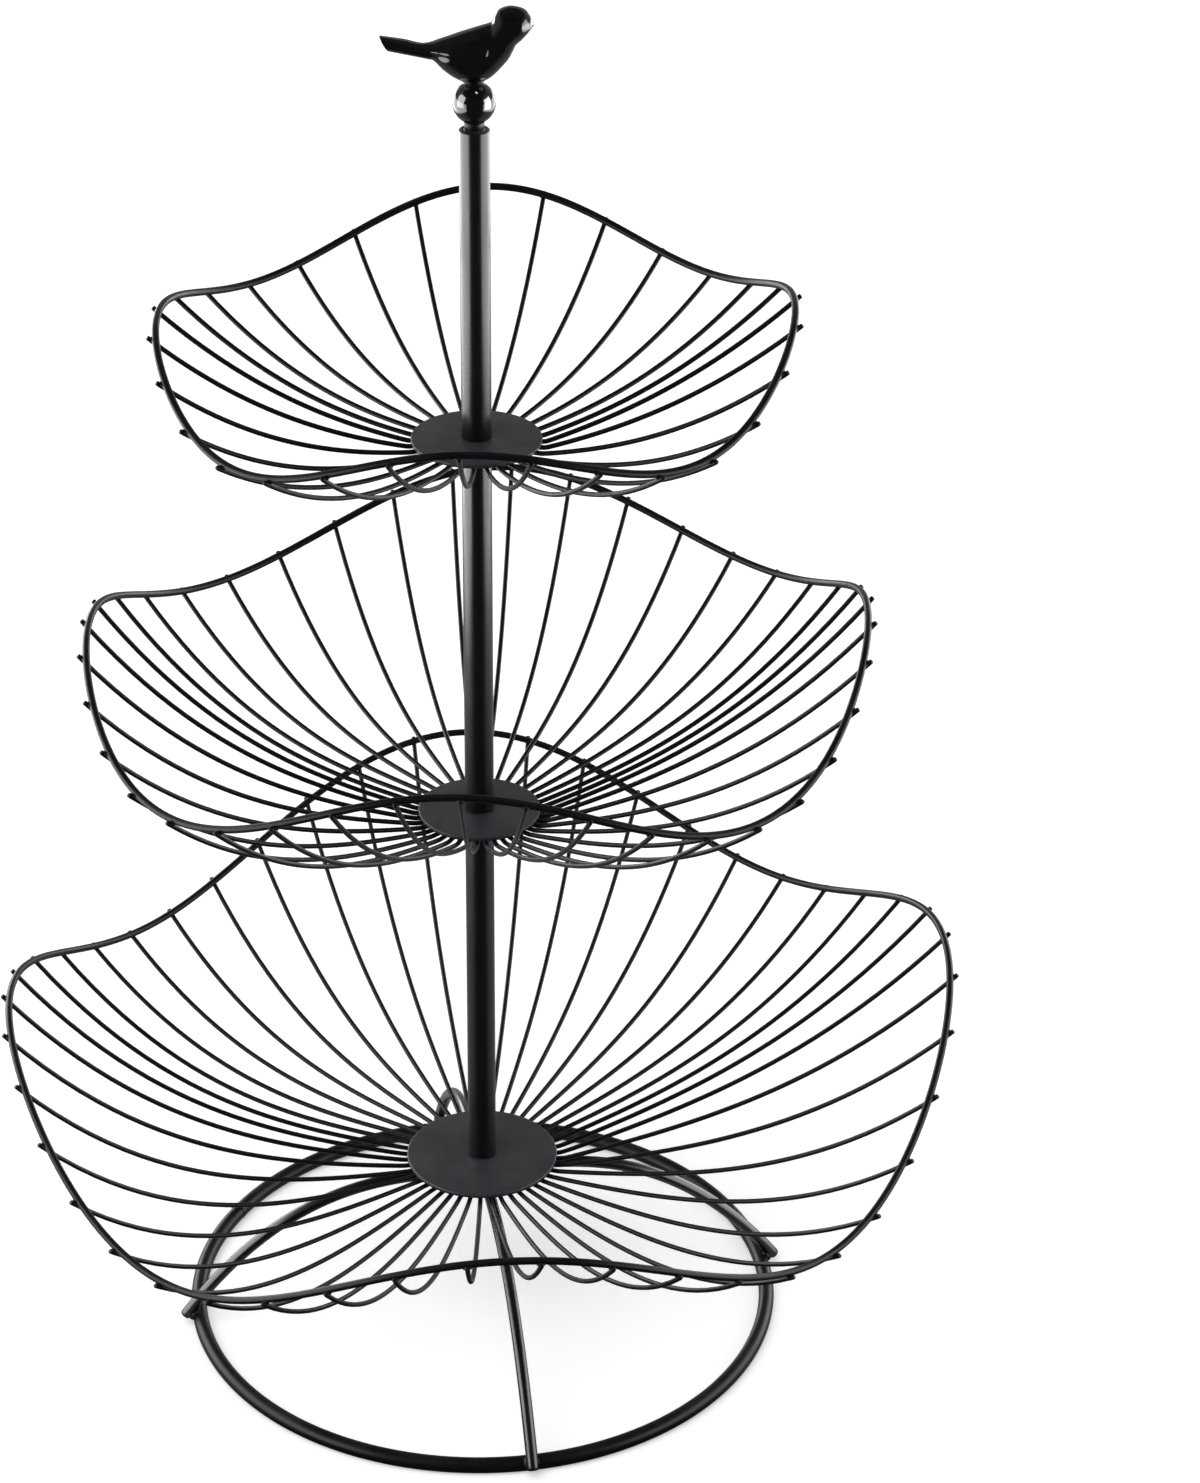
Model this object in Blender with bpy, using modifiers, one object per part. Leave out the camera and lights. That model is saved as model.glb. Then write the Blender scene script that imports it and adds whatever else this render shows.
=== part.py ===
"""Three-tier wire fruit basket on a pole, with a bird on top.

Metres, +Z up. The origin is the centre of the floor ring's underside, the
pole stands on it, and +X is the way that the bird faces.
"""
import math

import bmesh
import bpy
from mathutils import Matrix, Vector

# The sides, from +X towards +Y: each has a leg, a petal of the rims and a
# fan of ribs in every basket
SIDES = ("right", "back", "left", "front")
PETALS = len(SIDES)

# Gaps between pieces that touch
GAP = 0.0003
# Gap under the bottom basket's ribs, which turn over the legs
RIB_RUNNING_GAP = 0.001

# Floor ring and legs
RING_RADIUS = 0.0993
RING_ROD = 0.0053
LEG_TURN = math.radians(8.8)
LEG_ROD = 0.004
LEG_HEIGHT = 0.0526
LEG_LEVEL_RUN = 0.005
LEG_BEND_POWER = 2.5
LEG_NUB = 0.0025

# Hub that the legs meet, with its bolt and washer
HUB_RADIUS = 0.0095
HUB_LIP = 0.001
HUB_CHAMFER = 0.0006
WASHER_RADIUS = 0.005
WASHER_THICKNESS = 0.0008
BOLT_HEAD_RADIUS = 0.0038
BOLT_HEAD_HEIGHT = 0.0024
BOLT_HEAD_CROWN_SHARE = 0.6

# Pole: three tubes with a threaded insert in each end that a stud enters
TUBE_RADIUS = 0.00475
TUBE_WALL = 0.001
LOWER_TUBE_LENGTH = 0.1344
MIDDLE_TUBE_LENGTH = 0.1315
UPPER_TUBE_LENGTH = 0.1014
INSERT_LENGTH = 0.010
STUD_RADIUS = 0.002
STUD_REACH = 0.009

# Wires and plates of the baskets; the ribs' roots are welded to a wire that
# the plate hides
RIB_WIRE = 0.0016
RIM_WIRE = 0.0024
ROOT_WIRE = 0.002
RIB_SPACING = 0.0007
RIB_NUB = 0.0016
RIB_LEVEL_RUN = 0.0005
PLATE_THICKNESS = 0.0016
PLATE_CHAMFER = 0.0003

# Bottom basket
BOTTOM_RIM_RADIUS = 0.1555
BOTTOM_RIM_HEIGHT = 0.0555
BOTTOM_WAVE_RISE = 0.0189
BOTTOM_WAVE_REACH = 0.0021
BOTTOM_TURN = math.radians(3.1)
BOTTOM_LEAN = 0.0070
BOTTOM_LEAN_TOWARD = math.radians(54.2)
BOTTOM_TWIST = 0.0024
BOTTOM_TWIST_TOWARD = math.radians(50.3)
BOTTOM_PLATE_RADIUS = 0.0258
BOTTOM_RIBS = 46
BOTTOM_FIRST_RIB = math.radians(89.7)
BOTTOM_RIB_CROWDING = math.radians(2.2)
BOTTOM_CROWDING_TOWARD = math.radians(38.9)
BOTTOM_BEND_POWER = 2.9
BOTTOM_STRAIGHT_SHARE = 0.22
BOTTOM_STRAIGHTER = 0.13
BOTTOM_STRAIGHTER_TOWARD = math.radians(-29.0)
BOTTOM_STRAIGHTER_AT_PEAKS = 0.24

# Middle basket
MIDDLE_RIM_RADIUS = 0.1266
MIDDLE_RIM_HEIGHT = 0.0588
MIDDLE_WAVE_RISE = 0.0130
MIDDLE_WAVE_REACH = -0.0018
MIDDLE_TURN = math.radians(-3.1)
MIDDLE_LEAN = 0.0059
MIDDLE_LEAN_TOWARD = math.radians(-57.4)
MIDDLE_TWIST = 0.0017
MIDDLE_TWIST_TOWARD = math.radians(31.9)
MIDDLE_PLATE_RADIUS = 0.0201
MIDDLE_RIBS = 40
MIDDLE_FIRST_RIB = math.radians(95.0)
MIDDLE_RIB_CROWDING = math.radians(2.6)
MIDDLE_CROWDING_TOWARD = math.radians(-149.1)
MIDDLE_BEND_POWER = 2.8
MIDDLE_STRAIGHT_SHARE = 0.40
MIDDLE_STRAIGHTER = 0.16
MIDDLE_STRAIGHTER_TOWARD = math.radians(-70.0)
MIDDLE_STRAIGHTER_AT_PEAKS = 0.12

# Top basket
TOP_RIM_RADIUS = 0.0984
TOP_RIM_HEIGHT = 0.0349
TOP_WAVE_RISE = 0.0089
TOP_WAVE_REACH = 0.0001
TOP_TURN = math.radians(-2.4)
TOP_LEAN = 0.0041
TOP_LEAN_TOWARD = math.radians(42.4)
TOP_TWIST = 0.0001
TOP_TWIST_TOWARD = math.radians(28.2)
TOP_PLATE_RADIUS = 0.0207
TOP_RIBS = 30
TOP_FIRST_RIB = math.radians(88.1)
TOP_RIB_CROWDING = math.radians(1.3)
TOP_CROWDING_TOWARD = math.radians(127.8)
TOP_BEND_POWER = 2.35
TOP_STRAIGHT_SHARE = 0.33
TOP_STRAIGHTER = 0.05
TOP_STRAIGHTER_TOWARD = math.radians(10.0)
TOP_STRAIGHTER_AT_PEAKS = 0.21

# Ball and bird
BALL_RADIUS = 0.0066
NECK_RADIUS = 0.0031
NECK_HEIGHT = 0.0024
BIRD_LENGTH = 0.0463
BIRD_HEIGHT = 0.0239
BIRD_WIDTH = 0.0135
BIRD_TAIL_LENGTH = 0.0281

# The bird from its tail's end to its beak: the top and bottom of each
# section, as shares of its length and height, then the share of its width
BIRD_SECTION_SHARES = (
    (0.000, 0.610, 0.015, 0.435, 0.44),
    (0.150, 0.575, 0.145, 0.390, 0.48),
    (0.287, 0.520, 0.309, 0.325, 0.46),
    (0.408, 0.580, 0.348, 0.302, 0.60),
    (0.525, 0.661, 0.408, 0.184, 0.82),
    (0.644, 0.735, 0.486, 0.073, 0.96),
    (0.721, 0.776, 0.590, 0.000, 1.00),
    (0.760, 0.833, 0.708, 0.078, 0.93),
    (0.799, 0.947, 0.823, 0.294, 0.82),
    (0.860, 1.000, 0.864, 0.441, 0.79),
    (0.935, 0.947, 0.909, 0.514, 0.71),
    (0.974, 0.857, 0.948, 0.588, 0.49),
)
BEAK_TIP_SHARE = (1.000, 0.727)

# Facets of round pieces
RING_STEPS = 48
RING_SIDES = 8
TUBE_STEPS = 16
PLATE_STEPS = 28
BALL_STEPS = 16
BALL_ARC_STEPS = 8
SMALL_STEPS = 12
RIM_POINTS = 48
RIB_BEND_STEPS = 6
LEG_BEND_STEPS = 10
BIRD_SIDES = 12
MERGE_DISTANCE = 0.00005

# Finishes: colour, roughness and metallic value
GLOSS_BLACK = ((0.008, 0.008, 0.010), 0.22, 0.0)
SATIN_GREY = ((0.055, 0.053, 0.062), 0.45, 0.0)
ZINC = ((0.55, 0.56, 0.58), 0.35, 1.0)


def clear_scene():
    for item in list(bpy.data.objects):
        bpy.data.objects.remove(item, do_unlink=True)


def finish(item, colour, roughness, metallic):
    """Give a piece its own material."""
    material = bpy.data.materials.new(item.name)
    material.use_nodes = True
    shader = material.node_tree.nodes["Principled BSDF"]
    shader.inputs["Base Color"].default_value = (*colour, 1.0)
    shader.inputs["Roughness"].default_value = roughness
    shader.inputs["Metallic"].default_value = metallic
    item.data.materials.append(material)
    return item


def painted(item):
    return finish(item, *GLOSS_BLACK)


def satin(item):
    return finish(item, *SATIN_GREY)


def plated(item):
    return finish(item, *ZINC)


def place(name, data, collection):
    item = bpy.data.objects.new(name, data)
    collection.objects.link(item)
    return item


def turned(name, outline, steps, collection, closed=True):
    """Turn an outline of (radius, height) points, outer side first, downwards."""
    mesh = bpy.data.meshes.new(name)
    build = bmesh.new()
    points = [build.verts.new((radius, 0.0, height)) for radius, height in outline]
    for first, second in zip(points, points[1:]):
        build.edges.new((first, second))
    if closed:
        build.edges.new((points[-1], points[0]))
    build.to_mesh(mesh)
    build.free()
    item = place(name, mesh, collection)
    screw = item.modifiers.new("turn", "SCREW")
    screw.axis = "Z"
    screw.angle = math.tau
    screw.steps = steps
    screw.render_steps = steps
    screw.use_merge_vertices = True
    screw.merge_threshold = MERGE_DISTANCE
    return item


def as_mesh(item, collection):
    """Swap a wire for a closed mesh of the same shape, which can be joined."""
    name = item.name
    view = bpy.context.evaluated_depsgraph_get()
    mesh = bpy.data.meshes.new_from_object(item.evaluated_get(view))
    build = bmesh.new()
    build.from_mesh(mesh)
    bmesh.ops.remove_doubles(build, verts=build.verts, dist=MERGE_DISTANCE)
    build.to_mesh(mesh)
    build.free()
    matrix = item.matrix_world.copy()
    bpy.data.objects.remove(item, do_unlink=True)
    mesh.name = name
    swapped = place(name, mesh, collection)
    swapped.matrix_world = matrix
    return swapped


def joined(base, other):
    """Weld another shape to a piece with a Boolean union."""
    other.hide_render = True
    other.display_type = "WIRE"
    union = base.modifiers.new("weld", "BOOLEAN")
    union.operation = "UNION"
    union.solver = "EXACT"
    union.object = other
    return base


def wires(name, paths, diameter, resolution, collection, cyclic=False):
    """Round wires along lists of points, each one its own solid."""
    curve = bpy.data.curves.new(name, "CURVE")
    curve.dimensions = "3D"
    curve.twist_mode = "Z_UP"
    curve.bevel_depth = diameter / 2
    curve.bevel_resolution = resolution
    curve.use_fill_caps = True
    for path in paths:
        spline = curve.splines.new("POLY")
        spline.points.add(len(path) - 1)
        for point, spot in zip(spline.points, path):
            point.co = (*spot, 1.0)
        spline.use_cyclic_u = cyclic
    return place(name, curve, collection)


def around(radius, height, angle):
    return Vector((radius * math.cos(angle), radius * math.sin(angle), height))


def ring_section_corner():
    """Distance from the ring rod's centre to the corners of its section."""
    return RING_ROD / 2 / math.cos(math.pi / RING_SIDES)


class Pole:
    """Heights of everything that is stacked on the pole."""

    def __init__(self):
        self.hub_bottom = LEG_HEIGHT - LEG_ROD / 2 - HUB_LIP
        self.hub_top = LEG_HEIGHT + LEG_ROD / 2 + RIB_RUNNING_GAP + ROOT_WIRE
        self.plates = []
        self.tubes = []
        seat = self.hub_top
        for length in (LOWER_TUBE_LENGTH, MIDDLE_TUBE_LENGTH, UPPER_TUBE_LENGTH):
            underside = seat + GAP
            tube_bottom = underside + PLATE_THICKNESS + GAP
            self.plates.append(underside)
            self.tubes.append((tube_bottom, tube_bottom + length))
            seat = tube_bottom + length
        self.finial_bottom = seat + GAP
        ball_base = math.sqrt(BALL_RADIUS ** 2 - NECK_RADIUS ** 2)
        self.ball_centre = self.finial_bottom + NECK_HEIGHT + ball_base
        self.finial_top = self.ball_centre + ball_base
        self.bird_foot = self.finial_top + GAP


class Basket:
    """One tier: a plate on the pole, a wavy rim and the ribs between them."""

    def __init__(self, name, underside, rim, wave, lean, twist, plate_radius, ribs, crowding, bend, straight):
        self.name = name
        self.underside = underside
        self.rim_radius, self.rim_height = rim
        self.wave_rise, self.wave_reach, self.turn = wave
        self.lean, self.lean_toward = lean
        self.twist, self.twist_toward = twist
        self.plate_radius = plate_radius
        self.rib_count, self.first_rib = ribs
        self.crowding, self.crowding_toward = crowding
        self.bend_power = bend
        self.straight_share, self.straighter, self.straighter_toward, self.straighter_at_peaks = straight
        self.rib_start = self.rib_count * (RIB_WIRE + RIB_SPACING) / math.tau

    def wave(self, angle):
        return math.cos(PETALS * (angle - self.turn))

    def tilt(self, angle):
        """How far the basket stands too high at an angle, from its lean and from the twist in its rim."""
        twist = self.twist * math.cos(2 * (angle - self.twist_toward))
        return self.lean * math.cos(angle - self.lean_toward) + twist

    def rim_point(self, angle):
        radius = self.rim_radius + self.wave_reach * self.wave(angle)
        height = self.underside + self.rim_height + self.wave_rise * self.wave(angle)
        return around(radius, height + self.tilt(angle), angle)

    def rim_direction(self, angle):
        step = math.radians(0.5)
        return (self.rim_point(angle + step) - self.rim_point(angle - step)).normalized()

    def rib_angles(self):
        """Where the ribs stand: evenly spaced, but a little crowded on one side."""
        angles = []
        for number in range(self.rib_count):
            even = self.first_rib + math.tau / self.rib_count * number
            angles.append(even + self.crowding * math.cos(even - self.crowding_toward))
        return angles

    def rib_path(self, angle):
        """A rib: level under the plate, then up in a slope that bends more and more, and past the rim."""
        outward = around(1.0, 0.0, angle)
        up = Vector((0.0, 0.0, 1.0))
        level = self.underside - GAP - RIB_WIRE / 2
        bend_start = self.plate_radius + RIB_LEVEL_RUN
        rim = self.rim_point(angle)
        tilt = self.tilt(angle)
        straight = self.straight_share + self.straighter * math.cos(angle - self.straighter_toward)
        straight += self.straighter_at_peaks * self.wave(angle)
        steepness = straight + (1 - straight) * self.bend_power
        slope = (tilt + (rim.z - level - tilt) * steepness) / (rim.dot(outward) - bend_start)
        along = (outward + up * slope).normalized()
        below = (outward * slope - up).normalized()
        apart = along.cross(self.rim_direction(angle)).normalized()
        seat = rim + below * ((RIM_WIRE + RIB_WIRE) / 2 + GAP) / abs(below.dot(apart))
        seat_radius = seat.dot(outward)
        path = [outward * self.rib_start + up * level]
        for step in range(RIB_BEND_STEPS + 1):
            share = step / RIB_BEND_STEPS
            radius = bend_start + (seat_radius - bend_start) * share
            rise = straight * share + (1 - straight) * share ** self.bend_power
            height = level + tilt * share + (seat.z - level - tilt) * rise
            path.append(outward * radius + up * height)
        path[-1] = seat + (seat - path[-2]).normalized() * (RIM_WIRE / 2 + RIB_NUB)
        return path

    def petal_of(self, angle):
        """Number of the quarter, from +X counted towards +Y, that holds an angle."""
        return int(round(angle / (math.tau / PETALS))) % PETALS


def make_base(pole, collection):
    """Floor ring, legs, hub, and the bolt and washer under the hub."""
    corner = ring_section_corner()
    outline = []
    for side in range(RING_SIDES):
        angle = math.tau * (0.5 - side) / RING_SIDES
        outline.append((RING_RADIUS + corner * math.cos(angle), RING_ROD / 2 + corner * math.sin(angle)))
    painted(turned("base_ring", outline, RING_STEPS, collection))

    start = HUB_RADIUS + GAP
    bend_start = start + LEG_LEVEL_RUN
    drop = LEG_HEIGHT - RING_ROD / 2
    lean = Vector((RING_RADIUS - bend_start, -LEG_BEND_POWER * drop)).normalized()
    above = Vector((-lean.y, lean.x))
    seat = Vector((RING_RADIUS, RING_ROD / 2)) + above * (corner + GAP + LEG_ROD / 2)
    for number, place_name in enumerate(SIDES):
        angle = LEG_TURN + math.tau * number / len(SIDES)
        path = [around(start, LEG_HEIGHT, angle)]
        for step in range(LEG_BEND_STEPS + 1):
            share = step / LEG_BEND_STEPS
            radius = bend_start + (seat.x - bend_start) * share
            height = LEG_HEIGHT - (LEG_HEIGHT - seat.y) * share ** LEG_BEND_POWER
            path.append(around(radius, height, angle))
        path[-1] += (path[-1] - path[-2]).normalized() * LEG_NUB
        painted(wires("leg_" + place_name, [path], LEG_ROD, 2, collection))

    bore = STUD_RADIUS + GAP
    painted(turned("base_hub", (
        (HUB_RADIUS - HUB_CHAMFER, pole.hub_top),
        (HUB_RADIUS, pole.hub_top - HUB_CHAMFER),
        (HUB_RADIUS, pole.hub_bottom + HUB_CHAMFER),
        (HUB_RADIUS - HUB_CHAMFER, pole.hub_bottom),
        (bore, pole.hub_bottom),
        (bore, pole.hub_top),
    ), PLATE_STEPS, collection))

    washer_top = pole.hub_bottom - GAP
    washer_bottom = washer_top - WASHER_THICKNESS
    plated(turned("base_washer", (
        (WASHER_RADIUS, washer_top),
        (WASHER_RADIUS, washer_bottom),
        (bore, washer_bottom),
        (bore, washer_top),
    ), TUBE_STEPS, collection))

    head_top = washer_bottom - GAP
    shank_top = pole.tubes[0][0] + STUD_REACH
    plated(turned("base_bolt", (
        (0.0, shank_top),
        (STUD_RADIUS, shank_top),
        (STUD_RADIUS, head_top),
        (BOLT_HEAD_RADIUS, head_top),
        (BOLT_HEAD_RADIUS, head_top - BOLT_HEAD_HEIGHT / 2),
        (BOLT_HEAD_RADIUS * BOLT_HEAD_CROWN_SHARE, head_top - BOLT_HEAD_HEIGHT),
        (0.0, head_top - BOLT_HEAD_HEIGHT),
    ), SMALL_STEPS, collection, closed=False))


def make_pole(pole, collection):
    """Tubes, their threaded inserts, and the studs that join them."""
    bore = TUBE_RADIUS - TUBE_WALL
    for name, (bottom, top) in zip(("lower", "middle", "upper"), pole.tubes):
        painted(turned(name + "_tube", (
            (TUBE_RADIUS, top),
            (TUBE_RADIUS, bottom),
            (bore, bottom),
            (bore, top),
        ), TUBE_STEPS, collection))
        for end, low in (("bottom", bottom), ("top", top - INSERT_LENGTH)):
            plated(turned(name + "_tube_" + end + "_insert", (
                (bore - GAP, low + INSERT_LENGTH),
                (bore - GAP, low),
                (STUD_RADIUS + GAP, low),
                (STUD_RADIUS + GAP, low + INSERT_LENGTH),
            ), SMALL_STEPS, collection))
    spans = (
        ("middle_stud", pole.tubes[0][1] - STUD_REACH, pole.tubes[1][0] + STUD_REACH),
        ("top_stud", pole.tubes[1][1] - STUD_REACH, pole.tubes[2][0] + STUD_REACH),
        ("finial_stud", pole.tubes[2][1] - STUD_REACH, pole.ball_centre + BALL_RADIUS / 2),
    )
    for name, low, high in spans:
        plated(turned(name, (
            (0.0, high),
            (STUD_RADIUS, high),
            (STUD_RADIUS, low),
            (0.0, low),
        ), SMALL_STEPS, collection, closed=False))


def make_ribs(basket, collection, joined_shapes):
    """Four fans of ribs, each welded to an arc of wire hidden under the plate."""
    fans = [[] for petal in range(PETALS)]
    for angle in basket.rib_angles():
        fans[basket.petal_of(angle)].append(angle)
    root_height = basket.underside - GAP - ROOT_WIRE / 2
    end_turn = (RIB_WIRE + GAP) / 2 / basket.rib_start
    for petal, (place_name, angles) in enumerate(zip(SIDES, fans)):
        middle = math.tau * petal / PETALS
        angles = sorted(middle + math.remainder(angle - middle, math.tau) for angle in angles)
        name = basket.name + "_ribs_" + place_name
        stops = [angles[0] - end_turn] + angles[1:-1] + [angles[-1] + end_turn]
        arc = [around(basket.rib_start, root_height, angle) for angle in stops]
        root = as_mesh(wires(name, [arc], ROOT_WIRE, 1, collection), collection)
        paths = [basket.rib_path(angle) for angle in angles]
        ribs = wires(name + "_wires", paths, RIB_WIRE, 1, joined_shapes)
        painted(joined(root, as_mesh(ribs, joined_shapes)))


def make_basket(basket, collection, joined_shapes):
    top = basket.underside + PLATE_THICKNESS
    radius = basket.plate_radius
    bore = STUD_RADIUS + GAP
    satin(turned(basket.name + "_plate", (
        (radius - PLATE_CHAMFER, top),
        (radius, top - PLATE_CHAMFER),
        (radius, basket.underside + PLATE_CHAMFER),
        (radius - PLATE_CHAMFER, basket.underside),
        (bore, basket.underside),
        (bore, top),
    ), PLATE_STEPS, collection))

    rim = [basket.rim_point(math.tau * step / RIM_POINTS) for step in range(RIM_POINTS)]
    painted(wires(basket.name + "_rim", [rim], RIM_WIRE, 1, collection, cyclic=True))
    make_ribs(basket, collection, joined_shapes)


def make_ball(pole, collection):
    """Ball with a neck above and below, on the stud out of the upper tube."""
    half_height = pole.finial_top - pole.ball_centre
    base = math.acos(half_height / BALL_RADIUS)
    outline = []
    for step in range(BALL_ARC_STEPS + 1):
        angle = base + (math.pi - 2 * base) * step / BALL_ARC_STEPS
        outline.append((BALL_RADIUS * math.sin(angle), pole.ball_centre + BALL_RADIUS * math.cos(angle)))
    outline.append((NECK_RADIUS, pole.finial_bottom))
    outline.append((STUD_RADIUS + GAP, pole.finial_bottom))
    outline.append((STUD_RADIUS + GAP, pole.finial_top))
    painted(turned("finial_ball", outline, BALL_STEPS, collection))


def make_bird(pole, collection):
    """The bird, lofted through upright oval sections from tail to beak."""
    build = bmesh.new()
    rings = []
    tail = Vector((-BIRD_TAIL_LENGTH, 0.0, pole.bird_foot))
    size = Matrix.Diagonal((BIRD_LENGTH, 0.0, BIRD_HEIGHT))
    for top_x, top_z, bottom_x, bottom_z, width in BIRD_SECTION_SHARES:
        top = tail + size @ Vector((top_x, 0.0, top_z))
        bottom = tail + size @ Vector((bottom_x, 0.0, bottom_z))
        centre = (top + bottom) / 2
        tall = (top - bottom) / 2
        wide = Vector((0.0, BIRD_WIDTH * width / 2, 0.0))
        ring = []
        for side in range(BIRD_SIDES):
            angle = math.tau * side / BIRD_SIDES
            ring.append(build.verts.new(centre + tall * math.cos(angle) + wide * math.sin(angle)))
        rings.append(ring)
    for first, second in zip(rings, rings[1:]):
        for side in range(BIRD_SIDES):
            after = (side + 1) % BIRD_SIDES
            build.faces.new((first[side], first[after], second[after], second[side]))
    beak = build.verts.new(tail + size @ Vector((BEAK_TIP_SHARE[0], 0.0, BEAK_TIP_SHARE[1])))
    for side in range(BIRD_SIDES):
        build.faces.new((rings[-1][side], rings[-1][(side + 1) % BIRD_SIDES], beak))
    build.faces.new(rings[0])
    bmesh.ops.recalc_face_normals(build, faces=build.faces)
    mesh = bpy.data.meshes.new("bird")
    build.to_mesh(mesh)
    build.free()
    painted(place("bird", mesh, collection))


def main():
    clear_scene()
    collection = bpy.data.collections.new("tiered_fruit_basket")
    bpy.context.scene.collection.children.link(collection)
    joined_shapes = bpy.data.collections.new("joined_shapes")
    bpy.context.scene.collection.children.link(joined_shapes)
    pole = Pole()
    baskets = (
        Basket("bottom", pole.plates[0],
               (BOTTOM_RIM_RADIUS, BOTTOM_RIM_HEIGHT),
               (BOTTOM_WAVE_RISE, BOTTOM_WAVE_REACH, BOTTOM_TURN),
               (BOTTOM_LEAN, BOTTOM_LEAN_TOWARD),
               (BOTTOM_TWIST, BOTTOM_TWIST_TOWARD),
               BOTTOM_PLATE_RADIUS,
               (BOTTOM_RIBS, BOTTOM_FIRST_RIB),
               (BOTTOM_RIB_CROWDING, BOTTOM_CROWDING_TOWARD),
               BOTTOM_BEND_POWER,
               (BOTTOM_STRAIGHT_SHARE, BOTTOM_STRAIGHTER, BOTTOM_STRAIGHTER_TOWARD,
                BOTTOM_STRAIGHTER_AT_PEAKS)),
        Basket("middle", pole.plates[1],
               (MIDDLE_RIM_RADIUS, MIDDLE_RIM_HEIGHT),
               (MIDDLE_WAVE_RISE, MIDDLE_WAVE_REACH, MIDDLE_TURN),
               (MIDDLE_LEAN, MIDDLE_LEAN_TOWARD),
               (MIDDLE_TWIST, MIDDLE_TWIST_TOWARD),
               MIDDLE_PLATE_RADIUS,
               (MIDDLE_RIBS, MIDDLE_FIRST_RIB),
               (MIDDLE_RIB_CROWDING, MIDDLE_CROWDING_TOWARD),
               MIDDLE_BEND_POWER,
               (MIDDLE_STRAIGHT_SHARE, MIDDLE_STRAIGHTER, MIDDLE_STRAIGHTER_TOWARD,
                MIDDLE_STRAIGHTER_AT_PEAKS)),
        Basket("top", pole.plates[2],
               (TOP_RIM_RADIUS, TOP_RIM_HEIGHT),
               (TOP_WAVE_RISE, TOP_WAVE_REACH, TOP_TURN),
               (TOP_LEAN, TOP_LEAN_TOWARD),
               (TOP_TWIST, TOP_TWIST_TOWARD),
               TOP_PLATE_RADIUS,
               (TOP_RIBS, TOP_FIRST_RIB),
               (TOP_RIB_CROWDING, TOP_CROWDING_TOWARD),
               TOP_BEND_POWER,
               (TOP_STRAIGHT_SHARE, TOP_STRAIGHTER, TOP_STRAIGHTER_TOWARD, TOP_STRAIGHTER_AT_PEAKS)),
    )
    make_base(pole, collection)
    make_pole(pole, collection)
    for basket in baskets:
        make_basket(basket, collection, joined_shapes)
    make_ball(pole, collection)
    make_bird(pole, collection)


main()
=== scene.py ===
"""Looks of a three-tier wire fruit basket with a bird on its pole.

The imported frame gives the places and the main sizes. This file adds the round
wires, the welds, the turned and cast pieces, the paints and the stage.
"""

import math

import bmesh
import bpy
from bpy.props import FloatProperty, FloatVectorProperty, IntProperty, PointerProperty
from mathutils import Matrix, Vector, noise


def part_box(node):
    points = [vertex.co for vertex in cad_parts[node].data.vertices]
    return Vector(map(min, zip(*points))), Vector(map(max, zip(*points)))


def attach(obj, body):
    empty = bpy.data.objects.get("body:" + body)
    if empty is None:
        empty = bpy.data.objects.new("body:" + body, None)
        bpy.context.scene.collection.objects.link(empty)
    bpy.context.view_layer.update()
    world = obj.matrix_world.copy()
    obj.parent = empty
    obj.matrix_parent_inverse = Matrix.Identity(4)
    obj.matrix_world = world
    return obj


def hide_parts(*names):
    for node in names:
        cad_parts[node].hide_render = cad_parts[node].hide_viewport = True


bl_info = {
    "name": "Tiered Fruit Basket",
    "version": (1, 0, 0),
    "blender": (4, 5, 0),
    "location": "3D View > Sidebar > Fruit Basket",
    "description": "Builds a three-tier wire fruit basket with a bird on its pole",
    "category": "Add Mesh",
}

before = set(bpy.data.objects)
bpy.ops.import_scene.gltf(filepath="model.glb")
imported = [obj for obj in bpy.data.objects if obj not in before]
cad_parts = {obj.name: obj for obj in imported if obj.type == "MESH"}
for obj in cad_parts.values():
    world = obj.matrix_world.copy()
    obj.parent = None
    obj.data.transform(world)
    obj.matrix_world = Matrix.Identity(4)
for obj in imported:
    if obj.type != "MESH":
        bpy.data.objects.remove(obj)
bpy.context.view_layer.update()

SIDES = ("right", "back", "left", "front")
TIERS = ("bottom", "middle", "top")
UP = Vector((0.0, 0.0, 1.0))

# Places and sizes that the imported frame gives
RING_LOW, RING_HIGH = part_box("base_ring")
RING_ROD = RING_HIGH.z - RING_LOW.z
RING_RADIUS = RING_HIGH.x - RING_ROD / 2
RING_MIDDLE = RING_LOW.z + RING_ROD / 2
TUBE_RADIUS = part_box("lower_tube")[1].x
TUBE_WALL = TUBE_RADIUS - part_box("lower_tube_top_insert")[1].x
HUB_LOW, HUB_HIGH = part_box("base_hub")
STUD_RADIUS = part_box("middle_stud")[1].x
BIRD_LOW, BIRD_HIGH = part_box("bird")
BALL_LOW, BALL_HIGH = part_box("finial_ball")


# Property helpers

def signed_length(name, description, default, **limits):
    return FloatProperty(name=name, description=description, default=default,
                         unit="LENGTH", precision=5, **limits)


def length(name, description, default):
    return signed_length(name, description, default, min=0.0)


def angle(name, description, degrees):
    return FloatProperty(name=name, description=description, default=math.radians(degrees), unit="ROTATION")


def number(name, description, default):
    return FloatProperty(name=name, description=description, default=default, min=0.0)


def colour(name, description, default):
    return FloatVectorProperty(name=name, description=description, default=default,
                               subtype="COLOR", size=3, min=0.0, max=1.0)


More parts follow.
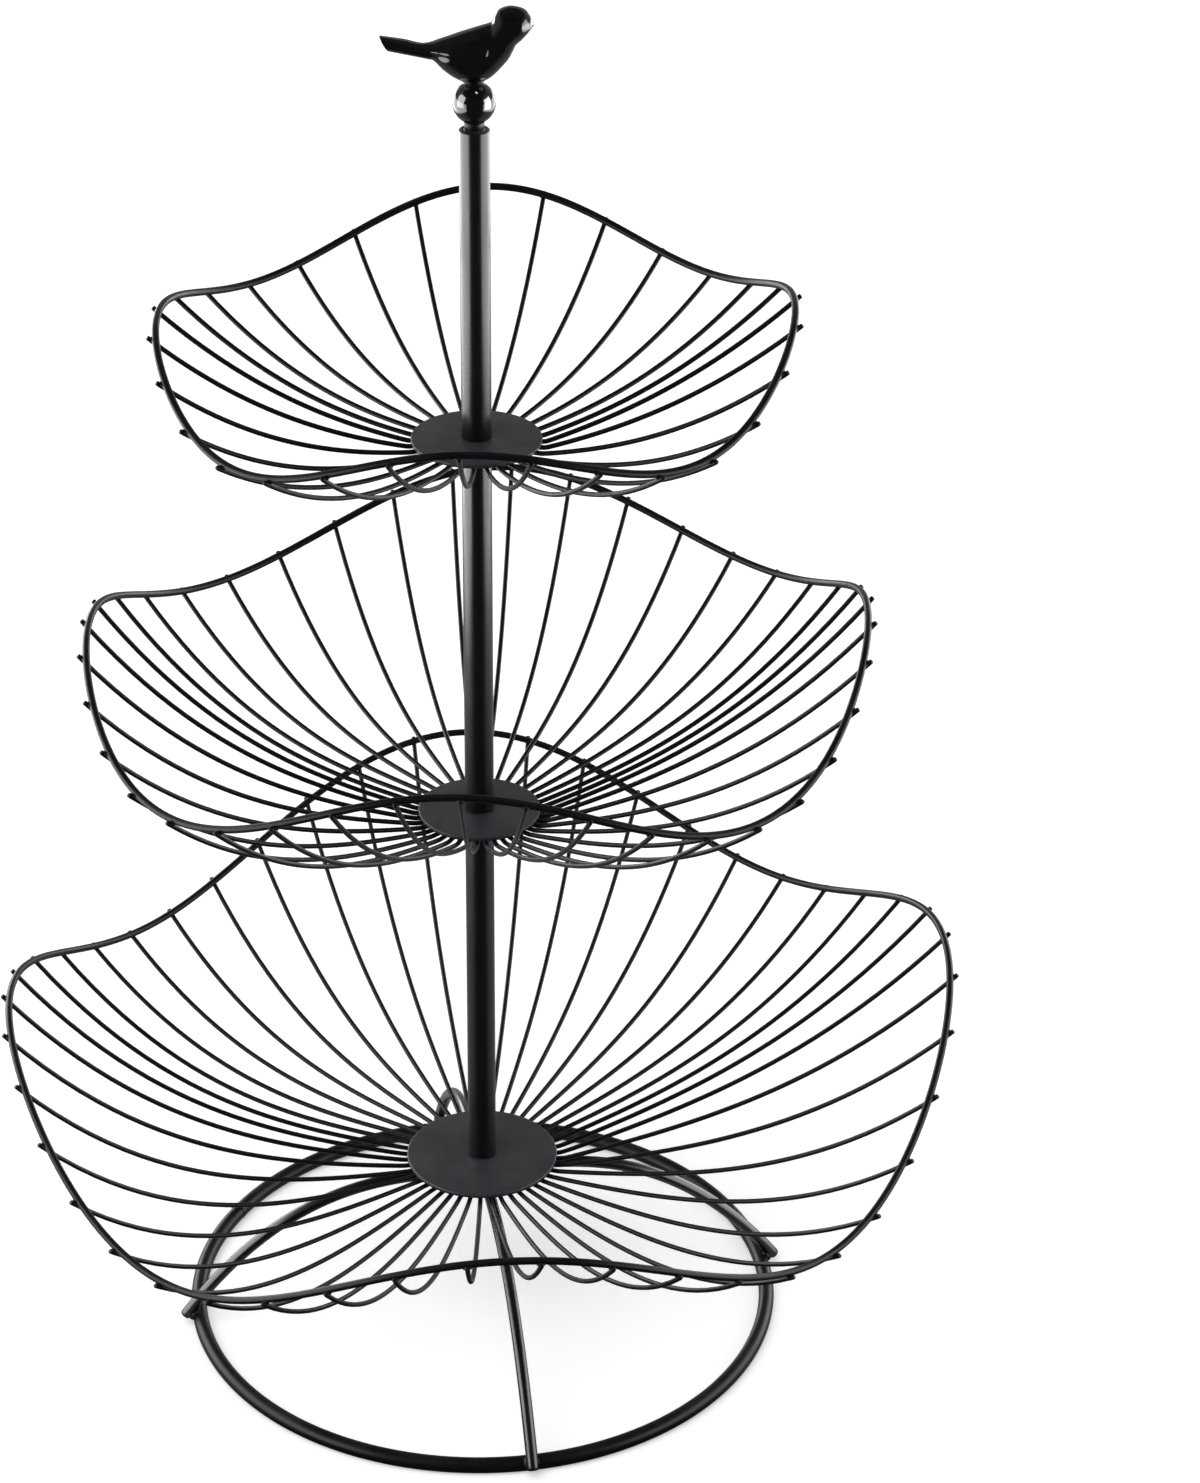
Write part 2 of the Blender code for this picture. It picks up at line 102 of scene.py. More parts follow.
def tier_shape(label, ribs, crowding, bend, straighter, rim, wave, lean, twist):
    """The PropertyGroup of one tier's shape, with that tier's own defaults."""
    fields = {
        "ribs": IntProperty(name="Ribs", description="Number of ribs", default=ribs[0], min=3),
        "first_rib": angle("First rib", "Where the first rib stands", ribs[1]),
        "crowding": angle("Crowding", "How far the ribs are crowded to one side", crowding[0]),
        "crowding_toward": angle("Crowding toward", "Where it pushes the ribs on most", crowding[1]),
        "bend_power": number("Bend power", "How late the ribs curve upwards", bend[0]),
        "straight": number("Straight share", "Share of a rib's rise that is a straight slope", bend[1]),
        "straighter": number("Straighter", "How much larger that share is on one side", straighter[0]),
        "straighter_toward": angle("Straighter toward", "The side where it is largest", straighter[1]),
        "straighter_at_peaks": number("Straighter at peaks", "How much larger at the peaks", straighter[2]),
        "rim_radius": length("Rim radius", "Mean radius of the rim wire", rim[0]),
        "rim_height": length("Rim height", "Mean height of the rim over the plate's underside", rim[1]),
        "wave_rise": length("Wave rise", "How far the rim's peaks rise over its mean height", wave[0]),
        "wave_reach": signed_length("Wave reach", "How much further out the peaks stand", wave[1]),
        "turn": angle("Turn", "How far the tier is turned on the pole", wave[2]),
        "lean": length("Lean", "How far the rim rises on the side that it leans from", lean[0]),
        "lean_toward": angle("Lean toward", "The side where the leaning rim is highest", lean[1]),
        "twist": length("Twist", "How far the rim is bent up on two sides and down between them", twist[0]),
        "twist_toward": angle("Twist toward", "A side where it is bent up", twist[1]),
    }
    return type(label, (bpy.types.PropertyGroup,), {"__annotations__": fields})


BottomTierShape = tier_shape(
    "BottomTierShape", ribs=(46, 89.7), crowding=(2.2, 38.9), bend=(2.9, 0.22),
    straighter=(0.13, -29.0, 0.24), rim=(0.1555, 0.0555), wave=(0.0189, 0.0021, 3.1),
    lean=(0.0070, 54.2), twist=(0.0024, 50.3))
MiddleTierShape = tier_shape(
    "MiddleTierShape", ribs=(40, 95.0), crowding=(2.6, -149.1), bend=(2.8, 0.40),
    straighter=(0.16, -70.0, 0.12), rim=(0.1266, 0.0588), wave=(0.0130, -0.0018, -3.1),
    lean=(0.0059, -57.4), twist=(0.0017, 31.9))
TopTierShape = tier_shape(
    "TopTierShape", ribs=(30, 88.1), crowding=(1.3, 127.8), bend=(2.35, 0.33),
    straighter=(0.05, 10.0, 0.21), rim=(0.0984, 0.0349), wave=(0.0089, 0.0001, -2.4),
    lean=(0.0041, 42.4), twist=(0.0001, 28.2))


class WireSizes(bpy.types.PropertyGroup):
    """Wires and welds of the three baskets."""

    rib_wire: length("Rib wire", "Diameter of the rib wire", 0.0016)
    rim_wire: length("Rim wire", "Diameter of the rim wire", 0.0024)
    root_wire: length("Root wire", "Diameter of the ring under the plate", 0.0020)
    rib_spacing: length("Root spacing", "Space between neighbouring ribs at their roots", 0.0007)
    rib_nub: length("Rib nub", "How far a rib's cut end stands out past the rim", 0.0007)
    level_run: length("Level run", "How far the ribs stay level past the plate", 0.0005)
    weld_set: length("Weld set", "How deep welded wires sink into each other", 0.0002)
    bead: length("Weld bead", "Half length of the bead where a rib meets the rim", 0.0014)


class BaseSizes(bpy.types.PropertyGroup):
    """Legs of the base."""

    leg_rod: length("Leg rod", "Diameter of a leg", 0.004)
    leg_height: length("Leg height", "Height of the legs' level part", 0.0526)
    leg_level_run: length("Level run", "Length of the legs' level part past the hub", 0.005)
    leg_bend_power: number("Bend power", "How late the legs curve downwards", 2.5)
    leg_turn: angle("Leg turn", "Where the first leg stands", 8.8)
    leg_nub: length("Leg nub", "How far a leg's end runs past the ring", 0.0025)
    bead: length("Weld bead", "Half length of the bead where a leg meets the ring", 0.0034)


class BirdSizes(bpy.types.PropertyGroup):
    """The bird's relief."""

    wing_relief: length("Wing relief", "How far the folded wings stand out", 0.0006)
    feather_groove: length("Feather groove", "Depth of the grooves between the feathers", 0.00022)
    eye: length("Eye", "Radius of an eye", 0.00055)


class FinishColours(bpy.types.PropertyGroup):
    """Paint and plating."""

    gloss_black: colour("Gloss black", "Enamel of wires, pole and bird", (0.0035, 0.0035, 0.0042))
    satin_grey: colour("Satin grey", "Coating of the plates", (0.024, 0.0235, 0.031))
    zinc: colour("Zinc", "Plating of the bolt, washer, studs and inserts", (0.55, 0.56, 0.58))
    dust: colour("Dust", "Dust on upward faces", (0.32, 0.31, 0.30))
    wire_gloss: number("Wire gloss", "Index of refraction of the enamel on the wires", 1.25)
    rod_gloss: number("Rod gloss", "Index of refraction of the enamel on rods and castings", 1.55)


class StageSizes(bpy.types.PropertyGroup):
    """Camera, floor and lamps."""

    camera_distance: length("Camera distance", "From the pole to the camera, along the floor", 1.1956)
    camera_height: length("Camera height", "From the floor to the camera", 0.8786)
    camera_yaw: angle("Camera yaw", "Turn of the camera from the pole", 1.89)
    camera_pitch: angle("Camera pitch", "How far the camera looks down", 28.82)
    camera_roll: angle("Camera roll", "Tilt of the camera", 0.47)
    focal_pixels: number("Focal length", "Focal length in pixels of the photograph", 4186.4)
    floor: length("Floor", "Half width of the floor", 6.0)
    ambient: number("Ambient light", "Strength of the light from all round", 0.55)
    overhead: number("Overhead light", "Strength of the broad light from above", 1.3)
    overhead_spread: angle("Overhead spread", "How broad the light from above is", 50.0)
    floor_lift: number("Floor lift", "Brightness added to the floor for the camera", 0.42)


class FruitBasketSettings(bpy.types.PropertyGroup):
    """Everything that a user would change."""

    bottom: PointerProperty(type=BottomTierShape)
    middle: PointerProperty(type=MiddleTierShape)
    top: PointerProperty(type=TopTierShape)
    wires: PointerProperty(type=WireSizes)
    base: PointerProperty(type=BaseSizes)
    bird: PointerProperty(type=BirdSizes)
    finish: PointerProperty(type=FinishColours)
    stage: PointerProperty(type=StageSizes)


def settings():
    return bpy.context.scene.fruit_basket


# Mesh tools

def around(radius, height, turn):
    return Vector((radius * math.cos(turn), radius * math.sin(turn), height))


def turns(count):
    """Even steps of a whole turn."""
    return [math.tau * step / count for step in range(count)]


def level_ring(build, radius, height, steps):
    """A level ring of vertices round the pole's axis."""
    return [build.verts.new(around(radius, height, turn)) for turn in turns(steps)]


def bridge(build, rings, closed=False):
    """Faces between neighbouring rings of vertices."""
    pairs = list(zip(rings, rings[1:]))
    if closed:
        pairs.append((rings[-1], rings[0]))
    for first, second in pairs:
        count = len(first)
        for side in range(count):
            after = (side + 1) % count
            build.faces.new((first[side], first[after], second[after], second[side]))


def cap(build, ring, centre):
    """A fan of triangles from a ring of vertices to a point. Gives the point's vertex."""
    middle = build.verts.new(centre)
    for side in range(len(ring)):
        build.faces.new((ring[side], ring[(side + 1) % len(ring)], middle))
    return middle


def closed_skin(build, rings, start, end):
    """Faces over rings round the pole's axis, closed at two heights. Gives the end points' vertices."""
    bridge(build, rings)
    return [cap(build, rings[0], UP * start), cap(build, rings[-1], UP * end)]


def sweep(build, centres, radii, sides, closed=False):
    """A round tube through points that never run straight up."""
    count = len(centres)
    rings = []
    for index, (centre, radius) in enumerate(zip(centres, radii)):
        before = centres[index - 1] if closed or index else centre
        after = centres[(index + 1) % count] if closed or index < count - 1 else centre
        along = (after - before).normalized()
        side = along.cross(UP).normalized()
        over = side.cross(along)
        spots = [centre + (side * math.cos(turn) + over * math.sin(turn)) * radius for turn in turns(sides)]
        rings.append([build.verts.new(spot) for spot in spots])
    bridge(build, rings, closed)
    if not closed:
        cap(build, rings[0], centres[0])
        cap(build, rings[-1], centres[-1])


# A cut end that the paint has rounded: place along the wire and radius, both
# as shares of the wire's radius
CUT_END_SHARES = ((0.0, 0.55), (0.10, 0.82), (0.30, 0.97), (0.55, 1.0))


def cut_end(tip, inner, radius):
    """Centres and radii of a wire's rounded end, from its tip towards an inner point."""
    inwards = (inner - tip).normalized()
    return [(tip + inwards * radius * place, radius * width) for place, width in CUT_END_SHARES]


def wire(build, path, diameter, sides):
    """An open wire with rounded ends."""
    radius = diameter / 2
    rows = cut_end(path[0], path[1], radius)
    rows += [(spot, radius) for spot in path[1:-1]]
    rows += reversed(cut_end(path[-1], path[-2], radius))
    sweep(build, *zip(*rows), sides)


def arc(centre, radius, first, last, steps):
    """Points of (radius, height) along an arc, from one angle to another in degrees."""
    points = []
    for step in range(steps + 1):
        turn = math.radians(first + (last - first) * step / steps)
        points.append((centre[0] + radius * math.cos(turn), centre[1] + radius * math.sin(turn)))
    return points


BEAD_SEGMENTS = 12
BEAD_RINGS = 8
BEAD_LUMPS = 900.0
BEAD_LUMP_SHARE = 0.16
SHARP_ANGLE = math.radians(50)


def bead(build, spot, along, across, sizes):
    """A lump of weld: an uneven oval with the given half sizes."""
    out = along.cross(across).normalized()
    across = out.cross(along).normalized()
    place = Matrix((along.normalized(), across, out)).transposed() @ Matrix.Diagonal(sizes)
    rings = []
    for row in range(1, BEAD_RINGS):
        turn = math.pi * row / BEAD_RINGS
        rings.append(level_ring(build, math.sin(turn), math.cos(turn), BEAD_SEGMENTS))
    for vertex in sum(rings, closed_skin(build, rings, 1.0, -1.0)):
        off = place @ vertex.co
        lump = 1.0 + BEAD_LUMP_SHARE * noise.noise((spot + off) * BEAD_LUMPS)
        vertex.co = spot + off * lump


def add_item(name, data):
    """A new object in the scene."""
    item = bpy.data.objects.new(name, data)
    bpy.context.scene.collection.objects.link(item)
    return item


def built_mesh(name, build):
    """The mesh that was being built."""
    mesh = bpy.data.meshes.new(name)
    build.to_mesh(mesh)
    build.free()
    return mesh


def piece(name, build, body, material, *nodes, slot="gloss_black"):
    """Turn a mesh being built into a finished piece that rides on a body and replaces nodes."""
    bmesh.ops.recalc_face_normals(build, faces=build.faces)
    mesh = built_mesh(name, build)
    mesh.shade_smooth()
    mesh.set_sharp_from_angle(angle=SHARP_ANGLE)
    mesh.materials.append(material)
    item = add_item(name, mesh)
    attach(item, body)
    if nodes:
        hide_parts(*nodes)
    return item


def turned(name, outline, steps, *given, **named):
    """A piece turned from a closed outline of (radius, height) points. The rest is as for piece."""
    build = bmesh.new()
    bridge(build, [level_ring(build, radius, height, steps) for radius, height in outline], closed=True)
    return piece(name, build, *given, **named)


# Shader nodes. They stand in rows, in the order in which they are added.

NODE_COLUMNS = 6
NODE_WIDTH = 220
NODE_HEIGHT = 320


def feed(tree, socket, value):
    """Give a socket a value, or link another node's output to it."""
    if isinstance(value, bpy.types.NodeSocket):
        tree.links.new(value, socket)
    else:
        socket.default_value = value


def feed_named(tree, made, values):
    """Feed a node's inputs by name."""
    for name, value in values.items():
        feed(tree, made.inputs[name.replace("_", " ")], value)


def node(tree, kind, *values, **named):
    """Add a node and feed its inputs, by order or by name."""
    row, column = divmod(len(tree.nodes), NODE_COLUMNS)
    made = tree.nodes.new(kind)
    made.location = ((column - NODE_COLUMNS) * NODE_WIDTH, -row * NODE_HEIGHT)
    for socket, value in zip(made.inputs, values):
        feed(tree, socket, value)
    feed_named(tree, made, named)
    return made


def math_node(tree, operation, *values, kind="ShaderNodeMath"):
    """The result of a Math or a Vector Math node."""
    made = node(tree, kind, *values)
    made.operation = operation
    return made.outputs[0]


def noise_field(tree, **values):
    """Noise over the object's own coordinates."""
    place = node(tree, "ShaderNodeTexCoord").outputs["Object"]
    return node(tree, "ShaderNodeTexNoise", Vector=place, **values).outputs[0]


def spread(tree, kind="LINEAR", **values):
    """A value mapped from one range to another."""
    made = node(tree, "ShaderNodeMapRange", **values)
    made.interpolation_type = kind
    return made.outputs[0]


def mixed(tree, factor, first, second):
    """A mix of two colours, given as red, green, blue and alpha or as another node's output."""
    made = node(tree, "ShaderNodeMix")
    made.data_type = "RGBA"
    for index, value in ((0, factor), (6, first), (7, second)):
        feed(tree, made.inputs[index], value)
    return made.outputs[2]


# Effects that several materials share, as shader node groups

def orange_peel(tree, given):
    """Fine ripple of sprayed paint, as a height."""
    ripple = noise_field(tree, Scale=given["Scale"], Detail=2.0, Roughness=0.45)
    return math_node(tree, "MULTIPLY", ripple, given["Depth"])


def settled_dust(tree, given):
    """Where dust lies: on faces that look up, in patches."""
    normal = node(tree, "ShaderNodeNewGeometry").outputs["Normal"]
    facing = node(tree, "ShaderNodeSeparateXYZ", normal).outputs["Z"]
    upward = spread(tree, Value=facing, From_Min=0.35, From_Max=1.0)
    patches = noise_field(tree, Scale=given["Patch Scale"], Detail=5.0, Roughness=0.62)
    patches = spread(tree, Value=patches, From_Min=0.38, From_Max=0.72)
    lying = math_node(tree, "MULTIPLY", upward, patches)
    return math_node(tree, "MULTIPLY", lying, given["Amount"])


def worn_edges(tree, given):
    """Where paint has thinned: on raised edges, unevenly."""
    raised = node(tree, "ShaderNodeNewGeometry").outputs["Pointiness"]
    raised = spread(tree, Value=raised, From_Min=given["Start"], From_Max=0.66)
    breaks = noise_field(tree, Scale=700.0, Detail=4.0, Roughness=0.6)
    uneven = math_node(tree, "MULTIPLY", raised, breaks)
    return math_node(tree, "MULTIPLY", uneven, given["Amount"])


def handling_haze(tree, given):
    """Roughness that wanders between two values, as on a wiped surface."""
    cloud = noise_field(tree, Scale=given["Scale"], Detail=4.0, Roughness=0.55, Distortion=0.6)
    return spread(tree, Value=cloud, From_Min=0.3, From_Max=0.7, To_Min=given["Low"], To_Max=given["High"])


# Each effect: what makes it, the name of its output, and its inputs with
# their defaults
EFFECTS = {
    "Orange Peel": (orange_peel, "Height", {"Scale": 900.0, "Depth": 0.5}),
    "Settled Dust": (settled_dust, "Mask", {"Amount": 0.2, "Patch Scale": 60.0}),
    "Worn Edges": (worn_edges, "Mask", {"Amount": 0.3, "Start": 0.54}),
    "Handling Haze": (handling_haze, "Roughness", {"Scale": 40.0, "Low": 0.16, "High": 0.26}),
}


def new_group(name):
    """The shader node group of an effect."""
    make, result, inputs = EFFECTS[name]
    tree = bpy.data.node_groups.new(name, "ShaderNodeTree")
    for label, default in inputs.items():
        socket = tree.interface.new_socket(name=label, in_out="INPUT", socket_type="NodeSocketFloat")
        socket.default_value = default
    tree.interface.new_socket(name=result, in_out="OUTPUT", socket_type="NodeSocketFloat")
    given = node(tree, "NodeGroupInput").outputs
    leave = tree.nodes.new("NodeGroupOutput")
    feed(tree, leave.inputs[0], make(tree, given))
    return tree


def effect(tree, name, values):
    """The output of an effect's node group in a material, with the material's own values."""
    made = node(tree, "ShaderNodeGroup")
    made.node_tree = bpy.data.node_groups.get(name) or new_group(name)
    feed_named(tree, made, values)
    return made.outputs[0]


def coat(name, fresh, worn, wear, haze, ripple, relief, dust=None, dust_dulls=False, **surface):
    """A coat with thin edges, wandering gloss, a fine ripple and dust, made when it is first asked for."""
    material = bpy.data.materials.get(name)
    if material:
        return material
    material = bpy.data.materials.new(name)
    material.use_nodes = True
    tree = material.node_tree
    gloss = effect(tree, "Handling Haze", haze)
    shade = mixed(tree, effect(tree, "Worn Edges", wear), (*fresh, 1.0), (*worn, 1.0))
    if dust:
        lying = effect(tree, "Settled Dust", dust)
        shade = mixed(tree, lying, shade, (*settings().finish.dust, 1.0))
        if dust_dulls:
            gloss = math_node(tree, "ADD", gloss, lying)
    bump = node(tree, "ShaderNodeBump", Height=effect(tree, "Orange Peel", ripple), **relief)
    surface.update({"Base Color": shade, "Roughness": gloss, "Normal": bump.outputs[0]})
    feed_named(tree, tree.nodes["Principled BSDF"], surface)
    return material


WORN_ENAMEL = (0.030, 0.028, 0.027)
WORN_COATING = (0.060, 0.060, 0.064)
WORN_ZINC = (0.78, 0.79, 0.80)


def enamel(name, gloss, peel, haze, dust, wear, relief=0.00002):
    """Gloss black enamel with sprayed ripple, wiped haze, a little dust and thin edges."""
    return coat(
        name, settings().finish.gloss_black, WORN_ENAMEL, wear={"Amount": wear},
        haze={"Scale": 38.0, "Low": haze[0], "High": haze[1]},
        ripple={"Scale": peel[0], "Depth": peel[1]}, relief={"Strength": 0.6, "Distance": relief},
        dust={"Amount": dust, "Patch_Scale": 55.0}, dust_dulls=True, IOR=gloss)


def wire_enamel():
    """Duller enamel of the wires and rings, the ball's neck and the bird's foot."""
    gloss = settings().finish.wire_gloss
    return enamel("wire_enamel", gloss, peel=(1500.0, 0.5), haze=(0.30, 0.42), dust=0.03, wear=0.15)


def rod_enamel():
    """Enamel of the legs, the hub and the tubes."""
    gloss = settings().finish.rod_gloss
    return enamel("rod_enamel", gloss, peel=(900.0, 0.4), haze=(0.22, 0.29), dust=0.03, wear=0.15)


def cast_enamel():
    """Wet-looking enamel of the ball and the bird."""
    gloss = settings().finish.rod_gloss
    return enamel("cast_enamel", gloss, peel=(700.0, 0.8), haze=(0.06, 0.14), dust=0.02, wear=0.3)


def weld_enamel():
    """Rougher enamel over the welds."""
    gloss = settings().finish.wire_gloss
    return enamel("weld_enamel", gloss, peel=(2200.0, 1.0), haze=(0.34, 0.48), dust=0.04, wear=0.3,
                  relief=0.00006)


def plate_coating():
    """Satin grey coating with a fine powder grain, a soft sheen and faint dust."""
    return coat(
        "plate_coating", settings().finish.satin_grey, WORN_COATING, wear={"Amount": 0.5, "Start": 0.52},
        haze={"Scale": 70.0, "Low": 0.36, "High": 0.5}, ripple={"Scale": 3200.0, "Depth": 1.0},
        relief={"Strength": 0.7, "Distance": 0.00004}, dust={"Amount": 0.05, "Patch_Scale": 90.0}, IOR=1.4)


def zinc_plating():
    """Bright zinc with faint clouding and turning marks."""
    return coat(
        "zinc_plating", settings().finish.zinc, WORN_ZINC, wear={"Amount": 0.6},
        haze={"Scale": 260.0, "Low": 0.26, "High": 0.44}, ripple={"Scale": 4200.0, "Depth": 0.8},
        relief={"Strength": 0.5, "Distance": 0.00003}, Metallic=1.0)


# Curves of one tier

RIB_BEND_STEPS = 34
RIB_STEP_POWER = 1.5
RIB_BEND_SOFTNESS = 0.012
RIB_SLANT_END = math.hypot(1.0, RIB_BEND_SOFTNESS) - RIB_BEND_SOFTNESS
RIM_STEPS = 288
RIB_SIDES = 12
RIM_SIDES = 16
RIM_DIRECTION_STEP = math.radians(0.5)


class Tier:
    """One basket's curves, from its settings and its packed plate."""

    def __init__(self, name):
        self.name = name
        self.body = name + "_basket"
        self.shape = getattr(settings(), name)
        self.wires = settings().wires
        low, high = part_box(name + "_plate")
        self.underside = low.z
        self.topside = high.z
        self.plate_radius = high.x
        pitch = self.wires.rib_wire + self.wires.rib_spacing
        self.rib_start = self.shape.ribs * pitch / math.tau

    def wave(self, turn):
        return math.cos(len(SIDES) * (turn - self.shape.turn))

    def tilt(self, turn):
        shape = self.shape
        twist = shape.twist * math.cos(2 * (turn - shape.twist_toward))
        return shape.lean * math.cos(turn - shape.lean_toward) + twist

    def rim_point(self, turn):
        radius = self.shape.rim_radius + self.shape.wave_reach * self.wave(turn)
        height = self.underside + self.shape.rim_height + self.shape.wave_rise * self.wave(turn)
        return around(radius, height + self.tilt(turn), turn)

    def rim_direction(self, turn):
        step = RIM_DIRECTION_STEP
        return (self.rim_point(turn + step) - self.rim_point(turn - step)).normalized()

    def fans(self):
        """The ribs' places, sorted into one fan for each side."""
        shape = self.shape
        quarter = math.tau / len(SIDES)
        found = [[] for side in SIDES]
        for number_of_rib in range(shape.ribs):
            even = shape.first_rib + math.tau / shape.ribs * number_of_rib
            turn = even + shape.crowding * math.cos(even - shape.crowding_toward)
            found[int(round(turn / quarter)) % len(SIDES)].append(turn)
        return found

    def rib(self, turn):
        """A rib's centreline, the spot where it touches the rim, and its direction there."""
        wires = self.wires
        power = self.shape.bend_power
        outward = around(1.0, 0.0, turn)
        level = self.underside - wires.rib_wire / 2
        bend_start = self.plate_radius + wires.level_run
        rim = self.rim_point(turn)
        tilt = self.tilt(turn)
        straight = self.shape.straight + self.shape.straighter_at_peaks * self.wave(turn)
        straight += self.shape.straighter * math.cos(turn - self.shape.straighter_toward)
        steepness = straight + (1.0 - straight) * power
        slope = (tilt + (rim.z - level - tilt) * steepness) / (rim.dot(outward) - bend_start)
        along = (outward + UP * slope).normalized()
        below = (outward * slope - UP).normalized()
        apart = along.cross(self.rim_direction(turn)).normalized()
        lift = 1.0 / abs(below.dot(apart))
        seat = rim + below * ((wires.rim_wire + wires.rib_wire) / 2 - wires.weld_set) * lift
        reach = seat.dot(outward) - bend_start
        path = [outward * self.rib_start + UP * level]
        for step in range(RIB_BEND_STEPS + 1):
            share = (step / RIB_BEND_STEPS) ** RIB_STEP_POWER
            slant = (math.hypot(share, RIB_BEND_SOFTNESS) - RIB_BEND_SOFTNESS) / RIB_SLANT_END
            rise = straight * slant + (1.0 - straight) * share ** power
            height = level + tilt * slant + (seat.z - level - tilt) * rise
            path.append(outward * (bend_start + reach * share) + UP * height)
        path.append(seat + along * (wires.rim_wire / 2 + wires.rib_nub))
        return path, rim + below * (wires.rim_wire / 2), along


# Pieces of the base

RING_STEPS = 240
RING_SIDES = 24
RING_SEAM_TURN = math.radians(152.0)
RING_SEAM_WIDTH = math.radians(1.2)
RING_SEAM_RISE = 0.00022


def make_base_ring():
    """The ring of rod that the stand rests on, with the bulge of its closing weld."""
    build = bmesh.new()
    centres = [around(RING_RADIUS, RING_MIDDLE, turn) for turn in turns(RING_STEPS)]
    sweep(build, centres, [RING_ROD / 2] * RING_STEPS, RING_SIDES, closed=True)
    seam = around(RING_RADIUS, RING_MIDDLE + RING_SEAM_RISE, RING_SEAM_TURN)
    forward = around(1.0, 0.0, RING_SEAM_TURN + math.tau / 4)
    half = RING_ROD / 2 + RING_SEAM_RISE
    bead(build, seam, forward, UP, (RING_SEAM_WIDTH * RING_RADIUS, half, half))
    piece("floor_ring", build, "root", wire_enamel(), "base_ring")


LEG_STEPS = 44
LEG_SIDES = 20
# Half sizes of the beads at a leg's ends, as shares of the leg's rod, and how
# far from its middle the pair at the ring lies
RING_BEAD_SHARE = 0.30
RING_BEAD_PLACE_SHARE = 0.36
RING_BEAD_LENGTH_SHARE = 0.62
HUB_BEAD_SHARES = (0.32, 0.62, 0.60)


def leg_path(turn):
    """A leg's centreline from inside the hub to its end past the ring, and its spot on the ring."""
    base = settings().base
    bend_start = HUB_HIGH.x + base.leg_level_run
    drop = base.leg_height - RING_MIDDLE
    lean = Vector((RING_RADIUS - bend_start, -base.leg_bend_power * drop)).normalized()
    above = Vector((-lean.y, lean.x))
    seat = Vector((RING_RADIUS, RING_MIDDLE)) + above * (RING_ROD + base.leg_rod) / 2
    path = [around(HUB_HIGH.x - base.leg_rod / 2, base.leg_height, turn)]
    for step in range(LEG_STEPS + 1):
        share = step / LEG_STEPS
        radius = bend_start + (seat.x - bend_start) * share
        height = base.leg_height - (base.leg_height - seat.y) * share ** base.leg_bend_power
        path.append(around(radius, height, turn))
    end = (path[-1] - path[-2]).normalized()
    path.append(path[-1] + end * base.leg_nub)
    spot = around(RING_RADIUS + above.x * RING_ROD / 2, RING_MIDDLE + above.y * RING_ROD / 2, turn)
    return path, spot, end


def make_legs():
    """Four bent rods, and the welds that hold them to the ring and the hub."""
    base = settings().base
    welds = bmesh.new()
    for number_of_leg, side in enumerate(SIDES):
        turn = base.leg_turn + math.tau * number_of_leg / len(SIDES)
        path, spot, end = leg_path(turn)
        build = bmesh.new()
        wire(build, path, base.leg_rod, LEG_SIDES)
        piece(side + "_leg_rod", build, "root", rod_enamel(), "leg_" + side)
        rim = around(1.0, 0.0, turn + math.tau / 4)
        round_half = base.leg_rod * RING_BEAD_SHARE
        for sign in (-1.0, 1.0):
            bead(welds, spot + rim * sign * base.leg_rod * RING_BEAD_PLACE_SHARE, end, rim,
                 (base.bead * RING_BEAD_LENGTH_SHARE, round_half, round_half))
        hub_spot = around(HUB_HIGH.x, base.leg_height, turn)
        hub_bead = [base.leg_rod * share for share in HUB_BEAD_SHARES]
        bead(welds, hub_spot, around(1.0, 0.0, turn), rim, hub_bead)
    piece("leg_welds", welds, "root", weld_enamel())


EDGE_STEPS = 5


def ring_outline(outer, inner, low, high, edge):
    """Section of a washer, tube or disc with its four edges rounded."""
    points = arc((outer - edge, high - edge), edge, 90, 0, EDGE_STEPS)
    points += arc((outer - edge, low + edge), edge, 0, -90, EDGE_STEPS)
    points += arc((inner + edge, low + edge), edge, -90, -180, EDGE_STEPS)
    points += arc((inner + edge, high - edge), edge, 180, 90, EDGE_STEPS)
    return points


HUB_EDGE = 0.0008
WASHER_EDGE = 0.00018
BORE_GAP = 0.0003
BORE = STUD_RADIUS + BORE_GAP
HUB_STEPS = 96
BOLT_SOCKET_SHARE = 0.42
BOLT_SOCKET_DEPTH_SHARE = 0.55
BOLT_DOME_END_SHARE = 1.25
BOLT_DOME_STEPS = 6
BOLT_STEPS = 48
HEXAGON_TURN = math.tau / 6
THREAD_PITCH = 0.0007
THREAD_DEPTH = 0.00028
THREAD_ROWS = 8
THREAD_SIDES = 24


def threaded_rod(build, low, high, radius):
    """A threaded rod between two heights: the radius follows the turn of the thread."""
    rows = int((high - low) / THREAD_PITCH * THREAD_ROWS)
    rings = []
    for row in range(rows + 1):
        height = low + (high - low) * row / rows
        ends = min(row, rows - row) / THREAD_ROWS
        ring = []
        for turn in turns(THREAD_SIDES):
            phase = height / THREAD_PITCH - turn / math.tau
            tooth = abs(2.0 * (phase - math.floor(phase)) - 1.0)
            depth = THREAD_DEPTH * (1.0 - tooth) + THREAD_DEPTH * max(0.0, 1.0 - ends)
            ring.append(build.verts.new(around(radius - depth, height, turn)))
        rings.append(ring)
    closed_skin(build, rings, low, high)


def make_hub():
    """The turned hub that the legs meet, and the washer and bolt under it."""
    outline = ring_outline(HUB_HIGH.x, BORE, HUB_LOW.z, HUB_HIGH.z, HUB_EDGE)
    turned("leg_hub", outline, HUB_STEPS, "root", rod_enamel(), "base_hub")
    low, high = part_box("base_washer")
    outline = ring_outline(high.x, BORE, low.z, high.z, WASHER_EDGE)
    turned("plain_washer", outline, BOLT_STEPS, "root", zinc_plating(), "base_washer", slot="zinc")
    make_bolt()


